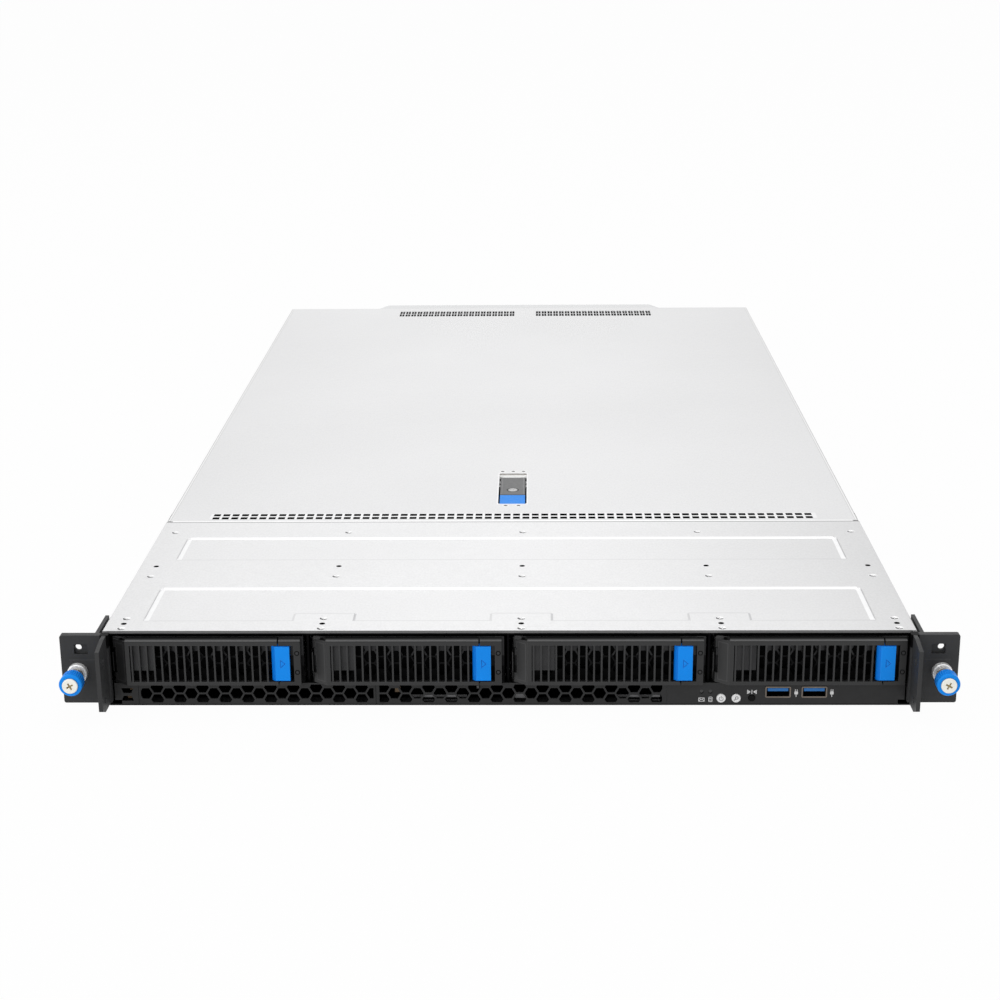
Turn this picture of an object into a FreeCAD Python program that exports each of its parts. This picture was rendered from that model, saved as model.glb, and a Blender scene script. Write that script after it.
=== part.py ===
import FreeCAD, Part
import math
import os

# A rack server one unit high. All sizes are in millimetres. While the pieces are made, X is across the
# front, Y runs to the rear from the front edge of the top cover, and Z is up from the underside.
# The finished pieces are moved so that the origin is the middle of the underside.

V = FreeCAD.Vector

# Overall body
body_length = 842.5
body_height = 43.6
front_cover_length = 187.0
cover_joint_gap = 0.5
ear_overhang = 21.55
front_reach = 6.0

# Sheet thicknesses and the gaps between sheets
base_sheet = 1.2
wall_sheet = 1.0
front_cover_sheet = 1.0
rear_cover_sheet = 0.8
divider_sheet = 1.2
deck_sheet = 1.0
cage_gap = 0.2
cover_side_gap = 0.15
wall_top_gap = 0.2
cover_flange_depth = 10.0
cover_bend = 1.4

# Drives and the trays that carry them
bay_count = 4
drive_width = 101.6
drive_length = 147.0
drive_height = 26.1
drive_front = 4.0
drive_side_gap = 0.1
drive_floor_gap = 0.1
drive_nose_gap = 0.4
tray_rail = 1.2
tray_floor = 0.8
tray_rail_height = 17.0
runner_gap = 1.5
tray_lift = 0.3
tray_top_gap = 0.5
tray_front_sheet = 1.0
tray_rear_gap = 2.0
tray_window_half = 30.0
tray_window_length = 28.0
tray_window_start = 24.0
deck_window_half = 34.0
deck_window_length = 30.0
deck_window_start = 22.0
window_count = 3
window_step = 42.0
mesh_pitch = 7.6
mesh_across = 6.6
mesh_rows = 4
mesh_start = 8.0
mesh_end = 4.0
mesh_rise = 1.6
mesh_over = 1.0
mesh_foot = 1.2
drive_screw_setbacks = (28.0, 70.0, 130.0)
drive_screw_rise = 6.35
drive_screw_radius = 1.4
tray_screw_radius = 1.7
drive_screw_depth = 4.0
drive_board = 1.6
drive_board_side = 6.0
drive_board_front = 30.0
drive_board_back = 2.0
drive_lid_inset = 3.0
drive_rim_inset = 5.0
drive_lid_depth = 0.5

# Carrier front: swing lever, fixed end frame and release button
bezel_gap = 6.9
lever_thickness = 3.0
bezel_lift = 0.4
bezel_crown = 0.1
bezel_bevel_height = 1.2
bezel_top_rail = 2.5
bezel_bottom_rail = 2.0
lever_bevel_width = 7.0
lever_bevel_depth = 5.0
lever_wall = 2.0
lever_split = 12.4
split_gap = 0.8
window_margin = 2.2
slat_pitch = 4.07
slat_width = 0.9
slat_depth = 2.4
last_slat_from_split = 5.6
end_post = 3.6
hinge_pin_radius = 0.8
hinge_clearance = 0.05
hinge_barrel_radius = 1.8
hinge_inset = 1.0
hinge_setback = 0.4
hinge_barrel_length = 5.4
hinge_gap = 0.4
light_pipe_radius = 0.9
light_pipe_heights = (7.6, 18.6)
button_face = 7.7
button_bevel = 2.2
button_to_post = 2.2
button_window_gap = 0.4
button_travel = 1.6
button_proud = 0.2
button_back_gap = 0.3
button_slope = 2.0
button_edge = 0.5
button_stem_half = 2.0
button_stem_height = 3.0
button_head_height = 4.5
button_head_sheet = 1.0
button_slot_gap = 0.3
arrow_start = 2.6
arrow_reach = 2.8
arrow_half = 2.5
arrow_middle = 10.1
arrow_line = 0.3
arrow_depth = 0.3
slat_setback = 0.2
cheek_back_slope = 0.35
cheek_top_setback = 1.5
plate_left_overlap = 1.5
bridge_gap = 0.6
bridge_drop = 0.4
pin_end_gap = 0.4

# Lower front strip
strip_sheet = 1.0
strip_front = 1.2
strip_base_gap = 0.1
strip_side_gap = 0.6
strip_top_gap = 0.3
strip_frame = 0.85
strip_foot = 3.6
strip_corner = 2.4
strip_flange = 6.0
strip_flange_sheet = 0.8
strip_flange_margin = 4.0
honeycomb_pitch = 12.4
honeycomb_wall = 0.95
honeycomb_height = 7.5
smallest_cell = 1.0
vent_one_start = -197.6
vent_one_span = (-200.4, -73.3)
vent_two_start = -62.0
vent_two_span = (-70.2, 83.5)
vent_grooves = ((-201.75, -201.45), (-72.4, -71.6))
vent_groove_depth = 0.5
bow_tie_x = -207.75
bow_tie_wide = 3.35
bow_tie_narrow = 2.15
bow_tie_heights = ((10.7, 7.75), (3.2, 6.15))
control_edge = 86.0
panel_joint = 0.1

# Front controls
led_positions = (104.8, 109.55)
led_height = 8.35
led_radius = 1.15
power_x = 115.4
uid_x = 123.55
push_height = 4.7
push_radius = 2.45
push_travel = 0.8
reset_x = 132.0
reset_radius = 1.85
reset_travel = 0.5
push_gap = 0.15
push_proud = 0.7
push_flange = 0.6
push_room = 1.6
io_board_y = 8.0
io_board_sheet = 1.6
io_board_margin = 4.0
io_board_end = 12.0
io_board_top_gap = 0.4
switch_half = 2.0
switch_depth = 3.0
usb_positions = (146.1, 165.7)
usb_height = 8.25
usb_width = 13.1
usb_shell_height = 5.7
usb_shell = 0.35
usb_gap = 0.15
usb_proud = 0.4
usb_lip = 0.4
usb_lip_corner = 0.9
usb_tongue = 1.7
usb_tongue_drop = 0.45
usb_tongue_margin = 1.0
usb_back = 1.2

# Ears, fins and captive thumbscrews
ear_thickness = 4.0
ear_top_drop = 0.2
ear_base = 4.2
ear_bezel_gap = 1.85
fin_offset = 0.8
fin_thickness = 2.2
fin_reach = 18.5
fin_chamfer = 2.4
fin_foot = 2.7
fin_top_start = 6.0
fin_boss_radius = 1.6
fin_boss_setback = 11.0
fin_boss_rise = 5.9
fin_boss_drop = 11.0
fin_foot_slope = 6.0
ear_flange_gap = 0.9
ear_flange_sheet = 2.0
ear_flange_length = 24.0
ear_pad_start = 6.0
ear_pad_end = 20.0
ear_pad_height = 6.0
ear_pad_rise = 4.4
ear_pad_drop = 10.0
rack_hole_x = 232.55
rack_screw_height = 22.05
ear_hole_x = 231.9
ear_hole_rise = 13.7
ear_hole_radius = 1.8
pocket_width = 7.4
pocket_height = 5.7
pocket_outside = 1.9
pocket_above = 2.45
pocket_depth = 2.2
pocket_corner = 0.6
screw_radius = 2.5
screw_neck_radius = 2.2
screw_clearance = 0.1
screw_tail_gap = 0.4
ferrule_radius = 5.5
ferrule_neck = 4.0
ferrule_reach = 3.0
knob_radius = 6.15
knob_length = 7.6
knob_front = 24.5
knob_flutes = 32
knob_flute_radius = 0.3
knob_rim = 1.6
knob_well_radius = 4.5
knob_well_depth = 4.0
spring_radius = 3.6
spring_wire = 0.35
spring_turns = 5
screw_head_radius = 4.2
screw_head_height = 1.3
cross_arm = 2.0
cross_half = 0.5
cross_turn = 28.0
clip_radius = 3.8
clip_sheet = 0.8
clip_gap = 0.3
clip_play = 0.05
screw_tail = 8.0

# Top cover details
emboss_depth = 0.35
emboss_half = 200.0
emboss_front = (15.2, 65.5)
emboss_rear = (115.0, 154.5)
emboss_corner = 4.0
notch_half = 16.5
notch_reach = 11.0
column_offset = 7.1
last_column_offset = 6.3
screw_rows = (166.0, 86.0, 18.3, 3.6)
hole_rows = (103.4, 10.6)
cover_screw_head = 2.6
cover_screw_radius = 1.4
cover_screw_tail = 0.2
cover_screw_clearance = 0.05
cover_screw_slot = 0.6
cover_hole_radius = 1.2
front_lip = 2.3
cage_flange = 13.0
cage_flange_end = 172.0

# Rows of slots in the rear cover
slot_columns = 64
slot_pitch = 6.0
slot_width = 4.1
slot_length = 3.4
slot_rows = (195.0, 201.3)
rear_vent_cells = 20
rear_vent_pitch = 5.5
rear_vent_cell = 4.4
rear_vent_bridge = 1.0
rear_vent_length = 22.0
rear_vent_setback = 13.5
rear_vent_centres = (-58.5, 71.0)
cover_notch_width = 4.0
cover_notch_length = 1.6

# Cover latch
latch_opening_half = 9.3
latch_start = 224.0
latch_end = 292.8
latch_wall = 1.0
latch_depth = 9.4
latch_pivot_y = 285.7
latch_pivot_drop = 3.4
latch_pin_radius = 1.25
latch_pin_clearance = 0.05
latch_hub_radius = 2.3
latch_side_gap = 1.0
latch_plate = 3.0
latch_sink = 0.9
latch_rim_side = 3.0
latch_rim_end = 4.0
latch_rim_sheet = 0.8
latch_strip_sheet = 1.6
latch_front_gap = 0.4
latch_tail_half = 3.0
latch_tail_thickness = 1.2
latch_tail_drop = 4.6
latch_tongue = 10.0
latch_tongue_inset = 2.0
latch_tongue_sheet = 1.0
grip_length = 21.4
grip_seam = 0.2
lock_y = 257.4
lock_radius = 3.2
lock_clearance = 0.08
lock_stem_radius = 1.2
lock_stem_drop = 1.2
lock_bar_reach = 3.0
lock_bar_half = 1.1
lock_bar_sheet = 0.8
lock_slot_half = 0.45
lock_slot_depth = 0.8

# Inside: backplane and fans
backplane_y = 154.0
backplane_sheet = 1.6
backplane_side = 3.0
backplane_lift = 2.0
backplane_gap = 0.4
backplane_foot_half = 4.0
air_hole_offset = 38.0
air_hole_half = 12.0
air_hole_margin = 4.0
connector_drop = 0.6
connector_width = 41.0
connector_height = 5.0
connector_gap = 0.4
connector_depth = 3.6
fan_count = 6
fan_pitch = 66.0
fan_first = 40.0
fan_front = 232.0
fan_depth = 56.0
fan_top_gap = 1.4
fan_wall = 1.0
fan_hub_radius = 8.5
fan_motor_depth = 12.0
fan_arms = 4
fan_arm_half = 1.0
fan_arm_depth = 4.0
fan_shaft_radius = 1.5
fan_shaft_start = 8.0
rotor_gap = 0.6
rotor_setback = 4.0
rotor_nose = 2.0
rotor_tail = 6.0
rotor_clearance = 0.08
rotor_blade_tilt = 18.0
rotor_blades = 7
rotor_blade_sheet = 1.2

# Inside: main board, processors and memory
board_front = 300.0
board_rear_gap = 2.0
board_side_gap = 4.0
board_sheet = 1.6
board_lift = 5.0
board_knee = 16.0
board_chips = ((-10.0, 560.0, 34.0, 5.0), (60.0, 600.0, 22.0, 3.0), (-90.0, 590.0, 18.0, 3.0))
psu_plug_half = 22.0
psu_plug_length = 14.0
psu_plug_height = 9.0
standoff_radius = 3.0
standoff_rows = (320.0, 520.0, 640.0)
standoff_columns = (-190.0, -62.0, 62.0, 190.0)
sink_x = 75.0
sink_y = 366.0
sink_width = 78.0
sink_length = 108.0
sink_base = 4.0
sink_top_gap = 2.5
sink_fins = 20
sink_fin_sheet = 0.8
sink_socket = 3.0
socket_half = 30.0
socket_inset = 20.0
dimm_length = 133.35
dimm_sheet = 1.4
dimm_pitch = 8.2
dimm_group = 4
dimm_first = 5.5
dimm_outer_gap = 7.0
dimm_y = 353.0
dimm_seat = 3.0
dimm_top_gap = 1.6
dimm_socket_half = 3.2
dimm_socket_height = 7.0
dimm_socket_end = 4.5
dimm_slot_side = 0.15
dimm_slot_end = 0.3
dimm_foot_gap = 0.1
chip_count = 8
chip_start = 5.0
chip_pitch = 15.8
chip_length = 11.0
chip_thickness = 1.0
chip_low = 16.0
chip_high = 6.0

# Rear: power supplies
psu_width = 73.5
psu_length = 185.0
psu_side_gap = 0.6
psu_floor_gap = 0.3
psu_top_gap = 1.1
psu_partition = 1.0
psu_partition_reach = 10.0
psu_proud = 1.0
inlet_width = 24.4
inlet_height = 16.4
inlet_depth = 15.0
inlet_blade = 5.6
inlet_side = 8.0
inlet_rise = 5.0
inlet_corner = 3.0
inlet_blades = ((-7.0, -2.0), (7.0, -2.0), (0.0, 3.0))
psu_fan_radius = 16.0
psu_fan_depth = 6.0
psu_fan_side = 4.5
psu_fan_hub = 6.0
guard_setback = 0.6
guard_wire = 1.0
guard_radii = (9.0, 12.5)
psu_handle_reach = 18.0
psu_handle_bar = 3.0
psu_handle_span = 26.0
psu_handle_width = 6.0
psu_latch_gap = 0.3
psu_latch_length = 13.0
psu_latch_width = 5.0
psu_latch_height = 16.0
psu_latch_drop = 1.0
psu_pin_radius = 0.8
psu_pin_side = 2.2
psu_pin_setback = 1.4
psu_barrel_radius = 1.6
psu_latch_sheet = 1.6
psu_tab_width = 3.8
psu_tab_length = 6.0
psu_tab_corner = 1.2

# Rear: wall, lip, slot covers and sockets
rear_wall = 1.0
rear_lip_reach = 21.5
rear_lip_half = 136.0
rear_lip_taper = 9.0
rear_lip_drop = 0.4
rear_lip_shoulder = 4.0
rear_lip_sheet = 1.0
slot_cover_pitch = 88.0
slot_cover_width = 79.2
slot_cover_height = 18.4
slot_cover_sheet = 0.9
slot_cover_base = 22.6
slot_vent_columns = 12
slot_vent_rise = 5.0
slot_vent_drop = 2.8
slot_vent_shift = 1.2
card_half = 34.0
card_reach = 78.0
card_rear_gap = 6.0
card_lift = 1.0
card_sheet = 1.6
card_arm_side = 4.8
card_arm_sheet = 1.2
card_arm_height = 5.0
card_leg_length = 18.0
card_shelf_length = 14.0
slot_margin = 2.2
slot_vent_radius = 1.9
slot_vent_pitch = 5.2
jack_width = 16.0
jack_height = 13.4
jack_length = 21.0
jack_opening_width = 11.8
jack_opening_height = 7.2
jack_opening_depth = 14.0
jack_positions = (-112.0, -88.0, -66.0)
rear_usb_positions = (-38.0, -20.0)
video_x = 20.0
video_width = 30.8
video_height = 12.4
video_shell_width = 18.0
video_shell_height = 8.2
video_shell_rise = 2.1
video_shell_reach = 5.0
video_shell_slope = 1.2
video_shell_wall = 0.6
port_gap = 0.25
port_proud = 0.4
port_depth = 14.0
port_back = 2.0
jack_opening_rise = 3.6
jack_notch_half = 3.0
jack_notch_rise = 1.6
wall_vent_start = 50.0
wall_vent_step = 7.5
wall_vent_columns = 9
wall_vent_rows = 2
wall_vent_height = 9.5
wall_vent_pitch = 6.6
wall_vent_across = 5.4

# Studs on the sides that hang the server in its slide rails
stud_front = 62.0
stud_rear_setback = 152.5
stud_count = 4
stud_height = 20.0
stud_neck_radius = 2.6
stud_head_radius = 4.2
stud_neck = 2.2
stud_head = 1.4

# Sizes that follow from the values above
tray_width = drive_width + 2 * (drive_side_gap + tray_rail)
bay_pitch = tray_width + 2 * runner_gap + divider_sheet
cage_half = bay_count * bay_pitch / 2 + divider_sheet / 2
wall_in = cage_half + cage_gap
wall_out = wall_in + wall_sheet
front_cover_half = wall_out + cover_side_gap + front_cover_sheet
rear_cover_half = wall_out + cover_side_gap + rear_cover_sheet
ceiling = body_height - front_cover_sheet
rear_cover_top = ceiling + rear_cover_sheet
wall_top = ceiling - wall_top_gap
flange_under = ceiling - divider_sheet
drive_top = flange_under - tray_top_gap
drive_base = drive_top - drive_height
tray_base = drive_base - drive_floor_gap - tray_floor
deck_top = tray_base - tray_lift
deck_under = deck_top - deck_sheet
cage_front = 0.5
drive_rear = drive_front + drive_length
bezel_half = (bay_pitch - bezel_gap) / 2
bezel_base = tray_base + bezel_lift
bezel_top = drive_top + bezel_crown
bezel_face_top = bezel_top - bezel_bevel_height
window_base = bezel_base + bezel_bottom_rail
window_top = bezel_face_top - bezel_top_rail
front_plane = -front_reach
lever_back = front_plane + lever_thickness
split_x = bezel_half - lever_split
hinge_x = -bezel_half + hinge_inset
tray_plate_y = -1.6
bay_centres = [(i - (bay_count - 1) / 2) * bay_pitch for i in range(bay_count)]
divider_lines = [(i - bay_count / 2) * bay_pitch for i in range(bay_count + 1)]
screw_columns = [x + column_offset for x in divider_lines[:-1]]
screw_columns.append(divider_lines[-1] - last_column_offset)
ear_top = body_height - ear_top_drop
ear_outer = front_cover_half + ear_overhang
ear_inner = bay_centres[-1] + bezel_half + ear_bezel_gap
strip_half = ear_inner - strip_side_gap
strip_base = base_sheet + strip_base_gap
strip_top = tray_base - strip_top_gap
strip_back = -strip_front + strip_sheet
board_base = base_sheet + board_lift
board_top = board_base + board_sheet
board_rear = body_length - rear_wall - board_rear_gap
psu_inner = wall_in - psu_side_gap - psu_width
partition_x = psu_inner - psu_side_gap
free_half = partition_x - psu_partition
psu_base = base_sheet + psu_floor_gap
psu_top = ceiling - psu_top_gap
psu_rear = body_length + psu_proud
psu_front = psu_rear - psu_length
fan_size = ceiling - base_sheet - fan_top_gap
fan_centre = base_sheet + fan_size / 2
fan_bore = fan_size / 2 - fan_wall
latch_pivot_z = rear_cover_top - latch_pivot_drop
knob_back = -knob_front + knob_length
clip_front = front_plane + ear_thickness + clip_gap
stud_step = (body_length - stud_rear_setback - stud_front) / (stud_count - 1)
stud_positions = [stud_front + k * stud_step for k in range(stud_count)]


def block(x0, x1, y0, y1, z0, z1):
    return Part.makeBox(x1 - x0, y1 - y0, z1 - z0, V(x0, y0, z0))


def rod_x(y, z, radius, x0, x1):
    return Part.makeCylinder(radius, x1 - x0, V(x0, y, z), V(1, 0, 0))


def rod_y(x, z, radius, y0, y1):
    return Part.makeCylinder(radius, y1 - y0, V(x, y0, z), V(0, 1, 0))


def rod_z(x, y, radius, z0, z1):
    return Part.makeCylinder(radius, z1 - z0, V(x, y, z0), V(0, 0, 1))


def prism(points, direction):
    outline = Part.makePolygon(points + [points[0]])
    return Part.Face(outline).extrude(direction)


def prism_x(points, x0, x1):
    return prism([V(x0, y, z) for y, z in points], V(x1 - x0, 0, 0))


def prism_y(points, y0, y1):
    return prism([V(x, y0, z) for x, z in points], V(0, y1 - y0, 0))


def prism_z(points, z0, z1):
    return prism([V(x, y, z0) for x, y in points], V(0, 0, z1 - z0))


def fuse(*shapes):
    return shapes[0].multiFuse(list(shapes[1:])).removeSplitter()


def cut(shape, tools):
    return shape.cut(Part.makeCompound(list(tools)))


def mirror_x(shape):
    return shape.mirror(V(0, 0, 0), V(1, 0, 0))


def moved(shape, x, y=0.0, z=0.0):
    copy = shape.copy()
    copy.translate(V(x, y, z))
    return copy


def edges_along(shape, axis, test):
    """Straight edges parallel to an axis whose middle passes the test."""
    found = []
    for edge in shape.Edges:
        if len(edge.Vertexes) != 2:
            continue
        line = edge.Vertexes[1].Point.sub(edge.Vertexes[0].Point)
        if line.Length > 0 and abs(abs(line.dot(axis)) - line.Length) < 1e-6 and test(edge.CenterOfMass):
            found.append(edge)
    return found


def rounded_block(x0, x1, y0, y1, z0, z1, radius, axis):
    body = block(x0, x1, y0, y1, z0, z1)
    return body.makeFillet(radius, edges_along(body, axis, lambda point: True))


def hexagon_y(x, z, across, y0, y1):
    """Hexagon with flat top and bottom, extruded along Y."""
    corner = across / math.sqrt(3)
    points = [(x + corner * math.cos(math.radians(60 * k)), z + corner * math.sin(math.radians(60 * k)))
              for k in range(6)]
    return prism_y(points, y0, y1)


def channel(half, top, sheet, y0, y1):
    """A lid with a flange bent down on each side, and rounded bends."""
    base = top - sheet - cover_flange_depth
    outer = block(-half, half, y0, y1, base, top)
    outer = outer.makeFillet(cover_bend, edges_along(outer, V(0, 1, 0), lambda p: p.z > top - sheet / 2))
    inner = block(-half + sheet, half - sheet, y0, y1, base, top - sheet)
    return outer.cut(inner)


def countersink(x, y, clearance):
    """A flush screw, or with a clearance the hole that it sits in."""
    head = Part.makeCone(cover_screw_radius + clearance, cover_screw_head + clearance, front_cover_sheet,
                         V(x, y, ceiling), V(0, 0, 1))
    shank = rod_z(x, y, cover_screw_radius + clearance, flange_under - cover_screw_tail, ceiling)
    return fuse(head, shank)


def screw_places():
    return [(x, y) for x in screw_columns for y in screw_rows]


def emboss_outline(y0, y1, notches):
    """Shallow pressed panel, with notches in its front edge around the screws."""
    z0 = body_height - emboss_depth
    panel = rounded_block(-emboss_half, emboss_half, y0, y1, z0, body_height + 1, emboss_corner, V(0, 0, 1))
    tools = [block(x - notch_half, x + notch_half, y0 - 1, y0 + notch_reach, z0 - 1, body_height + 2)
             for x in notches]
    return cut(panel, tools) if tools else panel


def make_front_top_cover():
    cover = channel(front_cover_half, body_height, front_cover_sheet, 0, front_cover_length)
    lip_half = wall_in - cage_gap
    lip = block(-lip_half, lip_half, 0, front_cover_sheet, body_height - front_lip, ceiling)
    cover = fuse(cover, lip)
    tools = [emboss_outline(emboss_front[0], emboss_front[1], screw_columns[1:-1]),
             emboss_outline(emboss_rear[0], emboss_rear[1], [])]
    tools += [countersink(x, y, cover_screw_clearance) for x, y in screw_places()]
    tools += [rod_z(x, y, cover_hole_radius, ceiling - 1, body_height + 1)
              for x in screw_columns for y in hole_rows]
    return cut(cover, tools)


def make_cover_screws():
    low = ceiling + front_cover_sheet * 0.4
    arm = cover_screw_head / 2
    half = cover_screw_slot / 2
    screws = []
    for x, y in screw_places():
        recess = fuse(block(x - arm, x + arm, y - half, y + half, low, body_height + 1),
                      block(x - half, x + half, y - arm, y + arm, low, body_height + 1))
        screws.append(countersink(x, y, 0).cut(recess))
    return Part.makeCompound(screws)


def make_drive_cage():
    pieces = [block(-cage_half, cage_half, cage_front, drive_rear, deck_under, deck_top)]
    for i, x in enumerate(divider_lines):
        outer = i in (0, bay_count)
        low = base_sheet if outer else deck_under
        x0 = x - divider_sheet / 2
        x1 = x + divider_sheet / 2
        pieces.append(block(x0, x1, cage_front + front_cover_sheet, cage_flange_end, low, ceiling))
        if i < bay_count:
            pieces.append(block(x0, x0 + cage_flange, cage_front + front_cover_sheet, cage_flange_end,
                                flange_under, ceiling))
        else:
            pieces.append(block(x1 - cage_flange, x1, cage_front + front_cover_sheet, cage_flange_end,
                                flange_under, ceiling))
    cage = fuse(*pieces)
    holes = [rod_z(x, y, cover_screw_radius + cover_screw_clearance, flange_under - 1, ceiling + 1)
             for x, y in screw_places()]
    slots = []
    for x in bay_centres:
        for k in range(window_count):
            y0 = deck_window_start + window_step * k
            slots.append(block(x - deck_window_half, x + deck_window_half, y0, y0 + deck_window_length,
                               deck_under - 1, deck_top + 1))
    return cut(cage, holes + slots)


def bezel_profile(x0, x1):
    """Carrier front section with its sloping top edge, between two places across the bay."""
    points = [(front_plane, bezel_base), (lever_back, bezel_base), (lever_back, bezel_top),
              (front_plane, bezel_face_top)]
    return prism_x(points, x0, x1)


def make_tray_lever():
    left = -bezel_half
    face_left = left + lever_bevel_width
    back_left = front_plane + lever_bevel_depth
    frame = bezel_profile(face_left, split_x)
    inner_back = (left + lever_wall, back_left + lever_wall * cheek_back_slope)
    joint = (face_left + 0.01, lever_back)
    cheek = prism_z([(left, back_left), (face_left, front_plane), joint, inner_back], bezel_base,
                    bezel_face_top)
    top_corner = (face_left, front_plane + cheek_top_setback)
    cheek_top = prism_z([(left, back_left), top_corner, joint, inner_back], bezel_face_top, bezel_top)
    window_left = face_left + window_margin
    window = block(window_left, split_x + 1, front_plane - 1, lever_back + 1, window_base, window_top)
    lever = fuse(frame, cheek, cheek_top).cut(window)
    last_slat = split_x - last_slat_from_split
    count = int((last_slat - slat_width - window_left) / slat_pitch) + 1
    slats = []
    for k in range(count):
        x = last_slat - k * slat_pitch
        slats.append(block(x - slat_width / 2, x + slat_width / 2, front_plane + slat_setback,
                           front_plane + slat_setback + slat_depth, window_base, window_top))
    barrels = []
    for z0 in (bezel_base, bezel_face_top - hinge_barrel_length):
        z1 = z0 + hinge_barrel_length
        barrels.append(rod_z(hinge_x, hinge_setback, hinge_barrel_radius, z0, z1))
        barrels.append(block(left + 0.6, hinge_x + hinge_barrel_radius, back_left, hinge_setback, z0, z1))
    lever = fuse(lever, *(slats + barrels))
    bore = rod_z(hinge_x, hinge_setback, hinge_pin_radius + hinge_clearance, bezel_base - 1, bezel_top + 1)
    middle = rod_z(hinge_x, hinge_setback, hinge_barrel_radius + hinge_gap,
                   bezel_base + hinge_barrel_length, bezel_face_top - hinge_barrel_length)
    return lever.cut(bore).cut(middle)


def button_span():
    right = bezel_half - end_post - button_to_post
    return right - button_face - button_bevel, right - button_face, right


def mesh_openings():
    """Staggered columns of hexagons in the front sheet of a tray."""
    low = tray_base + mesh_foot + mesh_across / 2
    high = window_top + mesh_over - mesh_across / 2
    y0 = tray_plate_y - 1
    y1 = tray_plate_y + tray_front_sheet + 1
    tools = []
    x = hinge_x + hinge_barrel_radius + mesh_start
    column = 0
    while x < split_x - mesh_end:
        shift = mesh_pitch / 2 if column % 2 else 0.0
        for row in range(mesh_rows):
            z = window_base + mesh_rise + shift + row * mesh_pitch
            if low < z < high:
                tools.append(hexagon_y(x, z, mesh_across, y0, y1))
        x += mesh_pitch * math.sqrt(3) / 2
        column += 1
    return tools


def make_drive_tray():
    half = tray_width / 2
    rear = drive_rear - tray_rear_gap
    plate_back = tray_plate_y + tray_front_sheet
    floor = block(-half, half, plate_back, rear, tray_base, tray_base + tray_floor)
    rail_top = tray_base + tray_rail_height
    left_rail = block(-half, -half + tray_rail, drive_front - 1, rear, tray_base, rail_top)
    right_rail = block(half - tray_rail, half, plate_back, rear, tray_base, rail_top)
    plate = block(-bezel_half + lever_bevel_width - plate_left_overlap, half, tray_plate_y, plate_back,
                  tray_base, drive_top)
    post_left = bezel_half - end_post
    post = fuse(block(post_left, bezel_half, front_plane, plate_back, bezel_base, bezel_face_top),
                prism_x([(front_plane, bezel_face_top), (lever_back, bezel_top), (plate_back, bezel_top),
                         (plate_back, bezel_face_top)], post_left, bezel_half))
    start = split_x + split_gap
    top_rail = bezel_profile(start, bezel_half).cut(
        block(start - 1, bezel_half + 1, front_plane - 1, lever_back + 1, bezel_base - 1, window_top))
    bottom_rail = block(start, bezel_half, front_plane, tray_plate_y, bezel_base, window_base)
    top_bridge = block(start, bezel_half, lever_back, tray_plate_y, window_top + bridge_gap,
                       bezel_top - bridge_drop)
    pivot_low = bezel_base + hinge_barrel_length + hinge_gap
    pivot_high = bezel_face_top - hinge_barrel_length - hinge_gap
    knuckle = rod_z(hinge_x, hinge_setback, hinge_barrel_radius, pivot_low, pivot_high)
    web = block(-half, hinge_x + hinge_barrel_radius, hinge_setback, drive_front - drive_nose_gap,
                pivot_low, min(pivot_high, rail_top))
    pin = rod_z(hinge_x, hinge_setback, hinge_pin_radius, bezel_base + pin_end_gap,
                bezel_face_top - pin_end_gap)
    tray = fuse(floor, left_rail, right_rail, plate, post, top_rail, bottom_rail, top_bridge, knuckle, web,
                pin)
    clear = rod_z(hinge_x, hinge_setback, hinge_barrel_radius + hinge_gap, tray_base - 1,
                  bezel_base + hinge_barrel_length)
    tools = [clear] + mesh_openings()
    button_face_left, button_right = button_span()[1:]
    slot_x = (button_face_left + button_right) / 2
    slot_half = button_stem_half + button_slot_gap
    slot_height = button_stem_height + button_slot_gap
    middle = (window_base + window_top) / 2
    tools.append(block(slot_x - slot_half, slot_x + slot_half + button_travel, tray_plate_y - 1,
                       plate_back + 1, middle - slot_height, middle + slot_height))
    for z in light_pipe_heights:
        tools.append(rod_y(bezel_half - end_post / 2, bezel_base + z, light_pipe_radius,
                           front_plane - 1, plate_back + 1))
    for k in range(window_count):
        y0 = tray_window_start + window_step * k
        tools.append(block(-tray_window_half, tray_window_half, y0, y0 + tray_window_length, tray_base - 1,
                           tray_base + tray_floor + 1))
    for setback in drive_screw_setbacks:
        tools.append(rod_x(drive_front + setback, drive_base + drive_screw_rise, tray_screw_radius,
                           -half - 1, half + 1))
    return Part.makeCompound([fuse(cut(tray, tools), pin)] + make_light_pipes())


def make_light_pipes():
    """Clear pins that carry the status lights through the end post of a carrier."""
    return [rod_y(bezel_half - end_post / 2, bezel_base + z, light_pipe_radius, front_plane,
                  tray_plate_y + tray_front_sheet) for z in light_pipe_heights]


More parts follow.
